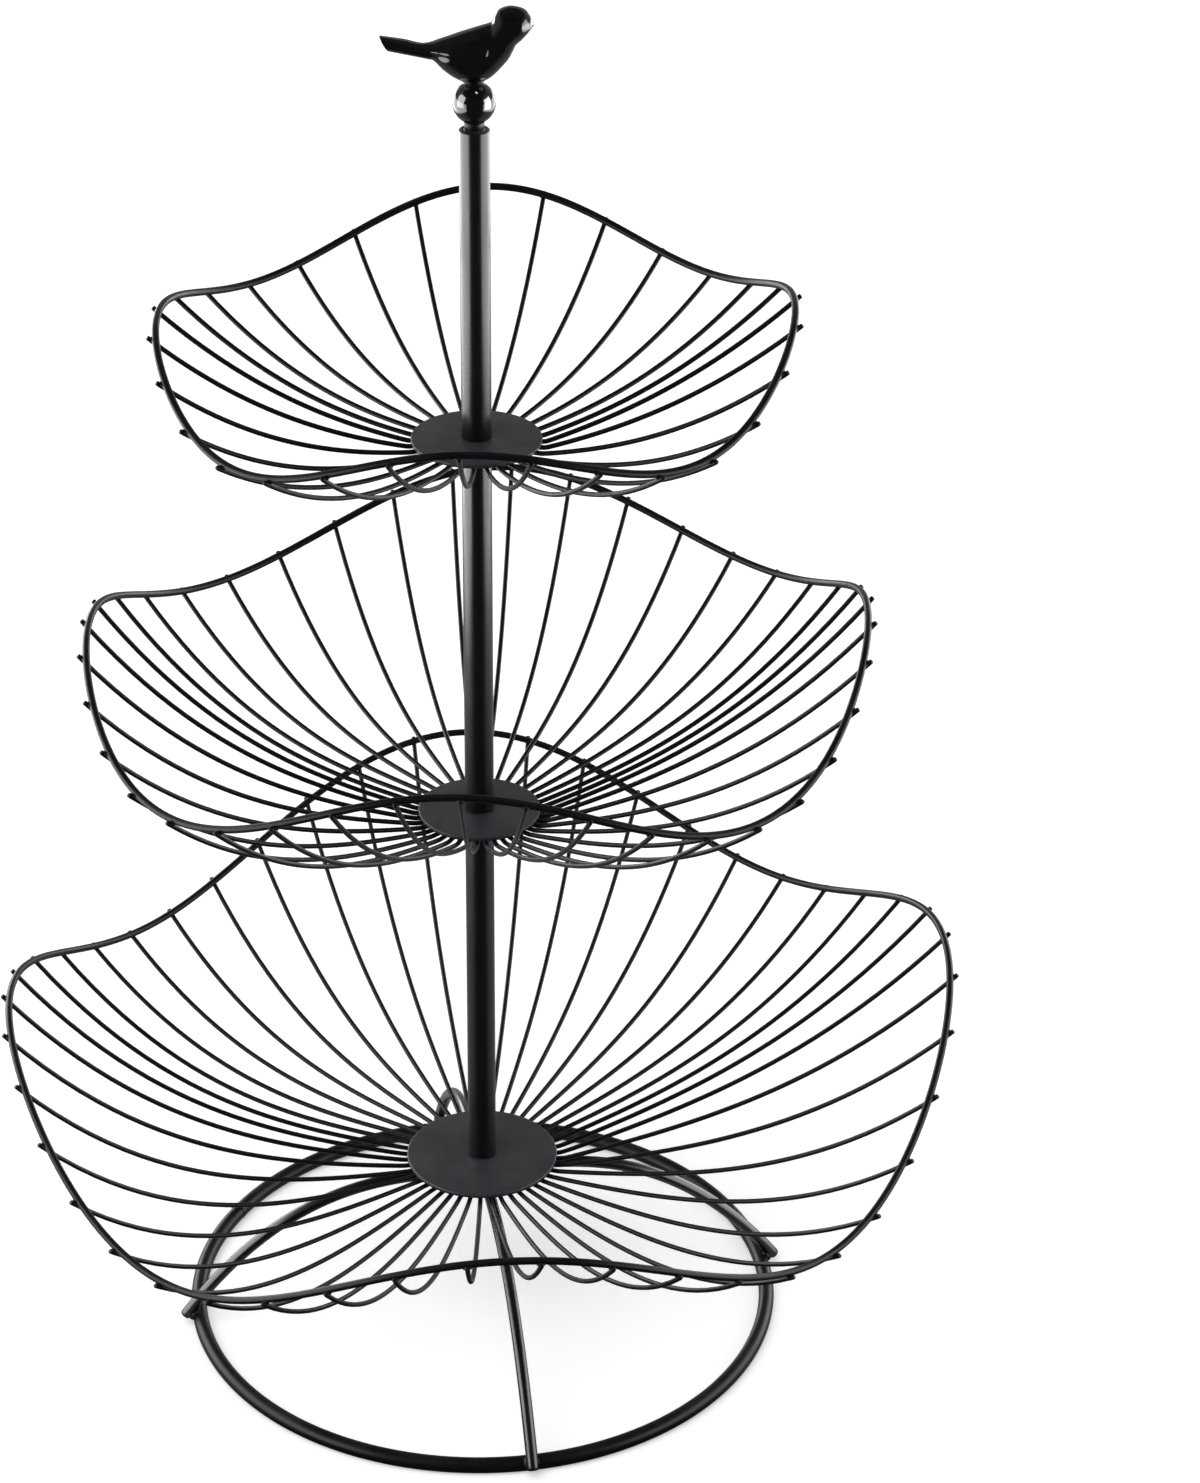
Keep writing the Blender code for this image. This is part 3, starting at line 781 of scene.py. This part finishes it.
def make_bolt():
    """A button head bolt: domed head with a hexagonal socket, and its thread."""
    low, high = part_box("base_bolt")
    head_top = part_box("base_washer")[0].z - BORE_GAP
    head = head_top - low.z
    radius = high.x
    socket = radius * BOLT_SOCKET_SHARE
    floor = low.z + head * BOLT_SOCKET_DEPTH_SHARE
    build = bmesh.new()
    dome = [(STUD_RADIUS, head_top), (radius, head_top)]
    dome_end = socket * BOLT_DOME_END_SHARE
    for step in range(1, BOLT_DOME_STEPS + 1):
        turn = math.pi / 2 * step / BOLT_DOME_STEPS
        dome.append((dome_end + (radius - dome_end) * math.cos(turn), head_top - head * math.sin(turn)))
    rings = [level_ring(build, width, height, BOLT_STEPS) for width, height in dome]
    corners = []
    for turn in turns(BOLT_STEPS):
        flat = math.remainder(turn, HEXAGON_TURN)
        corners.append((socket * math.cos(HEXAGON_TURN / 2) / math.cos(flat), turn))
    for height in (low.z, floor):
        rings.append([build.verts.new(around(width, height, turn)) for width, turn in corners])
    closed_skin(build, rings, head_top, floor)
    threaded_rod(build, head_top, high.z, STUD_RADIUS)
    piece("button_head_bolt", build, "root", zinc_plating(), "base_bolt", slot="zinc")


# Pieces of the pole

TUBE_EDGE = 0.00032
TUBE_STEPS = 72
STUDS = ("middle_stud", "top_stud", "finial_stud")


def make_pole():
    """Three tubes with softened ends, their threaded inserts and the studs between them."""
    for name in ("lower_tube", "middle_tube", "upper_tube"):
        low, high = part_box(name)
        outline = ring_outline(high.x, high.x - TUBE_WALL + BORE_GAP, low.z, high.z, TUBE_EDGE)
        turned("pole_" + name, outline, TUBE_STEPS, "root", rod_enamel(), name)
        for end in ("bottom", "top"):
            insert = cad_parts[name + "_" + end + "_insert"]
            insert.data.materials.clear()
            insert.data.materials.append(zinc_plating())
    for name in STUDS:
        low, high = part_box(name)
        build = bmesh.new()
        threaded_rod(build, low.z, high.z, high.x)
        piece("threaded_" + name, build, "root", zinc_plating(), name, slot="zinc")


# Pieces of the baskets

PLATE_EDGE = 0.00055
PLATE_STEPS = 144
ROOT_SIDES = 14
# Half width and half height of the beads, as shares of the rib wire
RIM_BEAD_SHARES = (0.62, 0.40)
ROOT_BEAD_SHARES = (0.62, 0.45)


def make_plates():
    """The round plate of each basket, with a softened edge."""
    for name in TIERS:
        tier = Tier(name)
        outline = ring_outline(tier.plate_radius, BORE, tier.underside, tier.topside, PLATE_EDGE)
        turned(name + "_round_plate", outline, PLATE_STEPS, tier.body, plate_coating(), name + "_plate",
               slot="satin_grey")


def make_rims():
    """The wavy rim wire of each basket."""
    for name in TIERS:
        tier = Tier(name)
        build = bmesh.new()
        centres = [tier.rim_point(turn) for turn in turns(RIM_STEPS)]
        sweep(build, centres, [tier.wires.rim_wire / 2] * RIM_STEPS, RIM_SIDES, closed=True)
        piece(name + "_rim_wire", build, tier.body, wire_enamel(), name + "_rim")


def make_ribs():
    """The fans of ribs, the ring under the plate that their roots are welded to, and their welds."""
    for name in TIERS:
        tier = Tier(name)
        wires = tier.wires
        rim_bead = (wires.bead, *(wires.rib_wire * share for share in RIM_BEAD_SHARES))
        root_bead = (wires.bead, *(wires.rib_wire * share for share in ROOT_BEAD_SHARES))
        welds = bmesh.new()
        for side, fan in zip(SIDES, tier.fans()):
            build = bmesh.new()
            for turn in fan:
                path, spot, along = tier.rib(turn)
                wire(build, path, wires.rib_wire, RIB_SIDES)
                bead(welds, spot, tier.rim_direction(turn), along, rim_bead)
                root = around(tier.rib_start, tier.underside - wires.rib_wire, turn)
                bead(welds, root, around(1.0, 0.0, turn), around(1.0, 0.0, turn + math.tau / 4), root_bead)
            piece(name + "_" + side + "_ribs", build, tier.body, wire_enamel(), name + "_ribs_" + side)
        height = tier.underside - wires.rib_wire - wires.root_wire / 2 + wires.weld_set
        height = max(height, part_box(name + "_ribs_right")[0].z + wires.root_wire / 2)
        build = bmesh.new()
        centres = [around(tier.rib_start, height, turn) for turn in turns(PLATE_STEPS)]
        sweep(build, centres, [wires.root_wire / 2] * PLATE_STEPS, ROOT_SIDES, closed=True)
        piece(name + "_root_ring", build, tier.body, wire_enamel())
        piece(name + "_rib_welds", welds, tier.body, weld_enamel())


# The ball and the bird

def lit_alone(name):
    """The collection of the pieces that a softbox lights: "ball" or "bird"."""
    label = "softbox_on_" + name
    return bpy.data.collections.get(label) or bpy.data.collections.new(label)


BALL_STEPS = 72
BALL_ARC_STEPS = 36
BALL_FILLET = 0.0006
FILLET_STEPS = 3
FILLET_DROP_SHARE = 0.6
NECK_WALL = 0.0008
NECK_EDGE = BALL_FILLET / 3


def make_ball():
    """The turned ball with its neck, drilled for the stud. The neck's paint is duller."""
    low, high = BALL_LOW.z, BALL_HIGH.z
    radius = BALL_HIGH.x
    neck = BORE + NECK_WALL
    base = math.asin(neck / radius)
    centre = high - radius * math.cos(base)
    outline = [(BORE, high), (neck - NECK_EDGE, high)]
    for step in range(BALL_ARC_STEPS + 1):
        turn = base + (math.pi - 2 * base) * step / BALL_ARC_STEPS
        outline.append((radius * math.sin(turn), centre + radius * math.cos(turn)))
    neck_top = centre - radius * math.cos(base)
    fillet = (neck + BALL_FILLET, neck_top - BALL_FILLET * FILLET_DROP_SHARE)
    outline += arc(fillet, BALL_FILLET, 150, 180, FILLET_STEPS)
    outline += [(neck, low + BALL_FILLET / 2), (neck - NECK_EDGE, low), (BORE, low)]
    ball = turned("turned_ball", outline, BALL_STEPS, "root", cast_enamel(), "finial_ball")
    lit_alone("ball").objects.link(ball)
    ball.data.materials.append(wire_enamel())
    for face in ball.data.polygons:
        face.material_index = int(face.center.z < neck_top)


# The bird from its tail's end to its beak: the top and bottom of each
# section, as shares of its length and height, then the share of its width
BIRD_SECTION_SHARES = (
    (0.000, 0.620, 0.058, 0.425, 0.40),
    (0.150, 0.575, 0.165, 0.385, 0.48),
    (0.287, 0.522, 0.309, 0.325, 0.46),
    (0.408, 0.588, 0.348, 0.302, 0.60),
    (0.525, 0.665, 0.408, 0.184, 0.85),
    (0.644, 0.740, 0.486, 0.073, 0.97),
    (0.715, 0.785, 0.590, 0.000, 0.98),
    (0.732, 0.825, 0.706, 0.070, 0.92),
    (0.747, 0.895, 0.818, 0.285, 0.88),
    (0.780, 0.965, 0.862, 0.430, 0.86),
    (0.850, 1.000, 0.880, 0.505, 0.84),
    (0.932, 0.962, 0.915, 0.570, 0.72),
    (0.975, 0.872, 0.952, 0.645, 0.48),
)
BEAK_TIP_SHARE = (1.000, 0.762)
BIRD_BETWEEN = 9
BIRD_SIDES = 48
WING_SHOULDER_SHARE = (0.705, 0.545)
WING_TIP_SHARE = (0.250, 0.470)
WING_WIDTH_SHARE = 0.16
WING_SOFT_SHARE = 0.05
WING_FEATHERS = 4
# Where along the wing it fades in at the shoulder and out at the tip, and
# where its feathers start
WING_FRONT_SHARES = (-0.08, 0.16)
WING_END_SHARES = (0.0, 0.08)
WING_FEATHER_SHARES = (0.30, 0.5)
WING_BLUNTNESS = 9.0
WING_TAPER_POWER = 0.55
GROOVE_SHARPNESS = 2.2
TAIL_START_SHARE = 0.30
TAIL_FADE_SHARE = 0.08
TAIL_FEATHERS = 1.5
TAIL_GROOVE_SHARPNESS = 2.5
EYE_SHARE = (0.915, 0.800)
EYE_RISE_SHARE = 0.5


def smooth_rows(rows, between):
    """More rows, on a smooth curve through the given ones."""
    found = []
    for index in range(len(rows) - 1):
        before = rows[max(index - 1, 0)]
        first, second = rows[index], rows[index + 1]
        after = rows[min(index + 2, len(rows) - 1)]
        for step in range(between):
            t = step / between
            row = []
            for p0, p1, p2, p3 in zip(before, first, second, after):
                bend = 2 * p1 + (p2 - p0) * t + (2 * p0 - 5 * p1 + 4 * p2 - p3) * t ** 2
                row.append((bend + (3 * p1 - p0 - 3 * p2 + p3) * t ** 3) / 2)
            found.append(tuple(row))
    found.append(rows[-1])
    return found


def soft_step(value, low, high):
    share = min(max((value - low) / (high - low), 0.0), 1.0)
    return share * share * (3.0 - 2.0 * share)


def wing_relief(spot):
    """How far the folded wing and its feather grooves move a point, given as shares of length and height."""
    bird = settings().bird
    shoulder, tip = Vector(WING_SHOULDER_SHARE), Vector(WING_TIP_SHARE)
    line = tip - shoulder
    along = (spot - shoulder).dot(line) / line.length_squared
    off = (spot - shoulder - line * along).dot(Vector((-line.y, line.x)).normalized())
    inside = min(max(along, 0.0), 1.0)
    blunt = math.sqrt(min(inside * WING_BLUNTNESS, 1.0))
    width = WING_WIDTH_SHARE * blunt * (1.0 - inside) ** WING_TAPER_POWER
    edge = soft_step(width - abs(off), 0.0, WING_SOFT_SHARE)
    edge *= soft_step(along, *WING_FRONT_SHARES) * soft_step(1.0 - along, *WING_END_SHARES)
    feather = abs(math.sin(math.pi * WING_FEATHERS * (off / WING_WIDTH_SHARE + 1.0) / 2.0))
    groove = (1.0 - min(feather * GROOVE_SHARPNESS, 1.0)) * soft_step(along, *WING_FEATHER_SHARES)
    return edge * (bird.wing_relief - bird.feather_groove * groove)


FOOT_RADIUS = 0.0029
FOOT_FLARE = 0.0004
FOOT_HEIGHT = 0.0028
FOOT_CLEARANCE = BALL_FILLET / 10


def make_foot():
    """The short foot that the bird stands on, from the ball up into its belly."""
    low = BALL_HIGH.z + FOOT_CLEARANCE
    top = low + FOOT_HEIGHT
    outline = ((FOOT_RADIUS + FOOT_FLARE, low), (FOOT_RADIUS + FOOT_FLARE / 2, low + FOOT_FLARE),
               (FOOT_RADIUS, low + FOOT_FLARE * 2), (FOOT_RADIUS, top))
    build = bmesh.new()
    rings = [level_ring(build, radius, height, BIRD_SIDES) for radius, height in outline]
    closed_skin(build, rings, low, top)
    piece("bird_foot", build, "root", wire_enamel())


def make_bird():
    """The cast bird: a loft from tail to beak with folded wings, tail feathers and eyes."""
    bird = settings().bird
    length_of_bird = BIRD_HIGH.x - BIRD_LOW.x
    height_of_bird = BIRD_HIGH.z - BIRD_LOW.z
    width_of_bird = BIRD_HIGH.y - BIRD_LOW.y
    corner = Vector((BIRD_LOW.x, 0.0, BIRD_LOW.z))
    size = Matrix.Diagonal((length_of_bird, 0.0, height_of_bird))
    build = bmesh.new()
    rings = []
    for top_x, top_z, bottom_x, bottom_z, width in smooth_rows(BIRD_SECTION_SHARES, BIRD_BETWEEN):
        top = corner + size @ Vector((top_x, 0.0, top_z))
        bottom = corner + size @ Vector((bottom_x, 0.0, bottom_z))
        centre = (top + bottom) / 2
        tall = (top - bottom) / 2
        half = width_of_bird * width / 2
        ring = []
        for turn in turns(BIRD_SIDES):
            lift, out = math.cos(turn), math.sin(turn)
            spot = centre + tall * lift
            share = Vector(((spot.x - corner.x) / length_of_bird, (spot.z - corner.z) / height_of_bird))
            reach = half * out
            reach += wing_relief(share) * out
            tail = soft_step(TAIL_START_SHARE - share.x, 0.0, TAIL_FADE_SHARE)
            feather = abs(math.sin(TAIL_FEATHERS * math.pi * out))
            groove = tail * (1.0 - min(feather * TAIL_GROOVE_SHARPNESS, 1.0))
            spot += tall.normalized() * lift * -bird.feather_groove * groove
            eye = (share - Vector(EYE_SHARE)) @ Matrix.Diagonal((length_of_bird, height_of_bird))
            dome = max(0.0, 1.0 - (eye.length / bird.eye) ** 2)
            reach += math.copysign(bird.eye * EYE_RISE_SHARE * math.sqrt(dome), out)
            ring.append(build.verts.new((spot.x, reach, spot.z)))
        rings.append(ring)
    bridge(build, rings)
    tail_end = sum((vertex.co for vertex in rings[0]), Vector()) / BIRD_SIDES
    cap(build, rings[0], tail_end)
    cap(build, rings[-1], corner + size @ Vector((BEAK_TIP_SHARE[0], 0.0, BEAK_TIP_SHARE[1])))
    cast = piece("cast_bird", build, "root", cast_enamel(), "bird")
    lit_alone("bird").objects.link(cast)
    make_foot()


# Stage

IMAGE_SIZE = (1200, 1483)
SENSOR = 36.0
WHITE = (1.0, 1.0, 1.0, 1.0)
FLOOR_COLOUR = (0.86, 0.86, 0.86, 1.0)
OVERHEAD_PLACE = (-0.5, -0.6, 1.6)
OVERHEAD_AIM = (0.0, 0.0, 0.24)
# Strip lights that stand on the floor and show only as highlights on the
# gloss: place, width and height in metres, and power
STRIPS = (
    ("left_strip", (-0.50, 0.47, 0.24), (2.06, 0.46), 17.0),
    ("right_strip", (0.60, 0.45, 0.24), (1.96, 0.46), 13.0),
)
# Softboxes whose highlights show only on the ball or only on the bird: what
# they light, place, width and height in metres, and power
SOFTBOXES = (
    ("left_ball_softbox", "ball", (-0.58, -0.12, 0.54), (0.48, 0.60), 9.0),
    ("right_ball_softbox", "ball", (0.59, -0.13, 0.42), (0.46, 0.54), 14.0),
    ("top_ball_softbox", "ball", (0.07, -0.10, 0.92), (0.06, 0.22), 0.8),
    ("right_bird_softbox", "bird", (0.59, -0.13, 0.42), (0.46, 0.54), 4.0),
)


def make_camera():
    """A camera where the photograph's stood."""
    stage = settings().stage
    data = bpy.data.cameras.new("photo_camera")
    data.sensor_width = SENSOR
    data.lens = stage.focal_pixels / max(IMAGE_SIZE) * SENSOR
    data.clip_start = 0.05
    camera = add_item("photo_camera", data)
    yaw, pitch, roll = stage.camera_yaw, stage.camera_pitch, stage.camera_roll
    forward = Vector((math.sin(yaw) * math.cos(pitch), math.cos(yaw) * math.cos(pitch), -math.sin(pitch)))
    level = Vector((math.cos(yaw), -math.sin(yaw), 0.0))
    upright = level.cross(forward)
    right = level * math.cos(roll) + upright * math.sin(roll)
    up = upright * math.cos(roll) - level * math.sin(roll)
    turn = Matrix((right, up, -forward)).transposed().to_4x4()
    camera.matrix_world = Matrix.Translation((0.0, -stage.camera_distance, stage.camera_height)) @ turn
    bpy.context.scene.camera = camera


def add_lamp(name, kind, place, aim):
    lamp = add_item(name, bpy.data.lights.new(name, kind))
    lamp.location = place
    lamp.rotation_mode = "QUATERNION"
    lamp.rotation_quaternion = (Vector(aim) - Vector(place)).to_track_quat("-Z", "Y")
    lamp.visible_camera = False
    return lamp


def add_softbox(name, place, aim, size, watts):
    """A flat lamp that shows only as a highlight."""
    lamp = add_lamp(name, "AREA", place, aim)
    lamp.data.shape = "RECTANGLE"
    lamp.data.size, lamp.data.size_y = size
    lamp.data.energy = watts
    lamp.visible_diffuse = False
    return lamp


def make_lamps():
    """A broad light from above, and strip lights and softboxes for the highlights."""
    stage = settings().stage
    overhead = add_lamp("overhead_light", "SUN", OVERHEAD_PLACE, OVERHEAD_AIM)
    overhead.data.energy = stage.overhead
    overhead.data.angle = stage.overhead_spread
    overhead.visible_glossy = False
    for name, place, size, watts in STRIPS:
        add_softbox(name, place, (0.0, *place[1:]), size, watts)
    for name, receiver, place, size, watts in SOFTBOXES:
        softbox = add_softbox(name, place, (0.0, 0.0, BALL_HIGH.z), size, watts)
        softbox.light_linking.receiver_collection = lit_alone(receiver)


def studio_sweep(tree, direction):
    """Brightness round the pole: dark in front, where the camera stands, else a pale grey."""
    level = math_node(tree, "MULTIPLY", direction, (1.0, 1.0, 0.0), kind="ShaderNodeVectorMath")
    level = math_node(tree, "NORMALIZE", level, kind="ShaderNodeVectorMath")
    parts = node(tree, "ShaderNodeSeparateXYZ", level).outputs
    return spread(tree, "SMOOTHSTEP", Value=parts["Y"], From_Min=-0.80, From_Max=-0.30,
                  To_Min=0.04, To_Max=0.42)


def dark_ceiling(tree, direction):
    """A share that falls towards the ceiling, which is left dark."""
    parts = node(tree, "ShaderNodeSeparateXYZ", direction).outputs
    return spread(tree, "SMOOTHSTEP", Value=parts["Z"], From_Min=0.45, From_Max=0.75,
                  To_Min=1.0, To_Max=0.12)


def make_world():
    """White for the camera, a studio with a dark front for reflections, else an even light."""
    world = bpy.data.worlds.new("studio")
    world.use_nodes = True
    tree = world.node_tree
    rays = node(tree, "ShaderNodeLightPath").outputs
    place = node(tree, "ShaderNodeTexCoord").outputs["Generated"]
    studio = math_node(tree, "MULTIPLY", studio_sweep(tree, place), dark_ceiling(tree, place))
    seen = math_node(tree, "MAXIMUM", rays["Is Camera Ray"], rays["Is Transmission Ray"])
    shine = math_node(tree, "MULTIPLY", rays["Is Glossy Ray"], studio)
    either = math_node(tree, "MAXIMUM", seen, rays["Is Glossy Ray"])
    rest = math_node(tree, "SUBTRACT", 1.0, either)
    even = math_node(tree, "MULTIPLY", rest, settings().stage.ambient)
    total = math_node(tree, "ADD", math_node(tree, "ADD", seen, shine), even)
    feed_named(tree, tree.nodes["Background"], {"Color": WHITE, "Strength": total})
    bpy.context.scene.world = world


def make_floor():
    """A plain pale floor that keeps the stand's shadow."""
    stage = settings().stage
    build = bmesh.new()
    bmesh.ops.create_grid(build, x_segments=4, y_segments=4, size=stage.floor)
    floor = add_item("pale_floor", built_mesh("pale_floor", build))
    material = bpy.data.materials.new("pale_floor")
    material.use_nodes = True
    tree = material.node_tree
    tree.nodes.remove(tree.nodes["Principled BSDF"])
    rays = node(tree, "ShaderNodeLightPath").outputs
    matt = node(tree, "ShaderNodeBsdfDiffuse", FLOOR_COLOUR)
    lifted = math_node(tree, "MULTIPLY", rays["Is Camera Ray"], stage.floor_lift)
    lift = node(tree, "ShaderNodeEmission", WHITE, lifted)
    shown = node(tree, "ShaderNodeAddShader", matt.outputs[0], lift.outputs[0])
    place = node(tree, "ShaderNodeTexCoord").outputs["Object"]
    mirrored = node(tree, "ShaderNodeEmission", WHITE, studio_sweep(tree, place))
    both = node(tree, "ShaderNodeMixShader", rays["Is Glossy Ray"], shown.outputs[0], mirrored.outputs[0])
    feed(tree, tree.nodes["Material Output"].inputs["Surface"], both.outputs[0])
    floor.data.materials.append(material)


# Operators

class BasketOperator(bpy.types.Operator):
    """Shared by the operators that add pieces."""

    bl_options = {"REGISTER", "UNDO"}


class FRUITBASKET_OT_base_ring(BasketOperator):
    """Add the ring that the stand rests on"""

    bl_idname = "fruit_basket.base_ring"
    bl_label = "Base Ring"

    def execute(self, context):
        make_base_ring()
        return {"FINISHED"}


class FRUITBASKET_OT_legs(BasketOperator):
    """Add the four legs and their welds"""

    bl_idname = "fruit_basket.legs"
    bl_label = "Legs"

    def execute(self, context):
        make_legs()
        return {"FINISHED"}


class FRUITBASKET_OT_hub(BasketOperator):
    """Add the hub, its washer and its bolt"""

    bl_idname = "fruit_basket.hub"
    bl_label = "Hub"

    def execute(self, context):
        make_hub()
        return {"FINISHED"}


class FRUITBASKET_OT_pole(BasketOperator):
    """Add the tubes and the studs of the pole"""

    bl_idname = "fruit_basket.pole"
    bl_label = "Pole"

    def execute(self, context):
        make_pole()
        return {"FINISHED"}


class FRUITBASKET_OT_plates(BasketOperator):
    """Add the round plates"""

    bl_idname = "fruit_basket.plates"
    bl_label = "Plates"

    def execute(self, context):
        make_plates()
        return {"FINISHED"}


class FRUITBASKET_OT_rims(BasketOperator):
    """Add the wavy rim wires"""

    bl_idname = "fruit_basket.rims"
    bl_label = "Rims"

    def execute(self, context):
        make_rims()
        return {"FINISHED"}


class FRUITBASKET_OT_ribs(BasketOperator):
    """Add the ribs and their welds"""

    bl_idname = "fruit_basket.ribs"
    bl_label = "Ribs"

    def execute(self, context):
        make_ribs()
        return {"FINISHED"}


class FRUITBASKET_OT_ball(BasketOperator):
    """Add the ball on the pole's end"""

    bl_idname = "fruit_basket.ball"
    bl_label = "Ball"

    def execute(self, context):
        make_ball()
        return {"FINISHED"}


class FRUITBASKET_OT_bird(BasketOperator):
    """Add the bird"""

    bl_idname = "fruit_basket.bird"
    bl_label = "Bird"

    def execute(self, context):
        make_bird()
        return {"FINISHED"}


class FRUITBASKET_OT_stage(BasketOperator):
    """Add the camera, the lamps, the floor and the white surroundings"""

    bl_idname = "fruit_basket.stage"
    bl_label = "Stage"

    def execute(self, context):
        make_camera()
        make_lamps()
        make_world()
        make_floor()
        context.scene.view_settings.view_transform = "Standard"
        return {"FINISHED"}


OPERATORS = (
    FRUITBASKET_OT_stage,
    FRUITBASKET_OT_base_ring,
    FRUITBASKET_OT_legs,
    FRUITBASKET_OT_hub,
    FRUITBASKET_OT_pole,
    FRUITBASKET_OT_plates,
    FRUITBASKET_OT_rims,
    FRUITBASKET_OT_ribs,
    FRUITBASKET_OT_ball,
    FRUITBASKET_OT_bird,
)


class FRUITBASKET_PT_panel(bpy.types.Panel):
    """Lists the pieces and their sizes"""

    bl_idname = "FRUITBASKET_PT_panel"
    bl_label = "Fruit Basket"
    bl_space_type = "VIEW_3D"
    bl_region_type = "UI"
    bl_category = "Fruit Basket"

    def draw(self, context):
        layout = self.layout
        for operator in OPERATORS:
            layout.operator(operator.bl_idname)
        chosen = context.scene.fruit_basket
        for name in ("bottom", "middle", "top", "wires", "base", "bird", "finish", "stage"):
            box = layout.box()
            box.label(text=name.capitalize())
            sizes = getattr(chosen, name)
            for field in sizes.__annotations__:
                box.prop(sizes, field)


CLASSES = (
    BottomTierShape,
    MiddleTierShape,
    TopTierShape,
    WireSizes,
    BaseSizes,
    BirdSizes,
    FinishColours,
    StageSizes,
    FruitBasketSettings,
    *OPERATORS,
    FRUITBASKET_PT_panel,
)


def register():
    for one in CLASSES:
        bpy.utils.register_class(one)
    bpy.types.Scene.fruit_basket = PointerProperty(type=FruitBasketSettings)


def unregister():
    del bpy.types.Scene.fruit_basket
    for one in reversed(CLASSES):
        bpy.utils.unregister_class(one)


def main():
    register()
    bpy.ops.fruit_basket.stage()
    bpy.ops.fruit_basket.base_ring()
    bpy.ops.fruit_basket.legs()
    bpy.ops.fruit_basket.hub()
    bpy.ops.fruit_basket.pole()
    bpy.ops.fruit_basket.plates()
    bpy.ops.fruit_basket.rims()
    bpy.ops.fruit_basket.ribs()
    bpy.ops.fruit_basket.ball()
    bpy.ops.fruit_basket.bird()


if __name__ == "__main__":
    main()
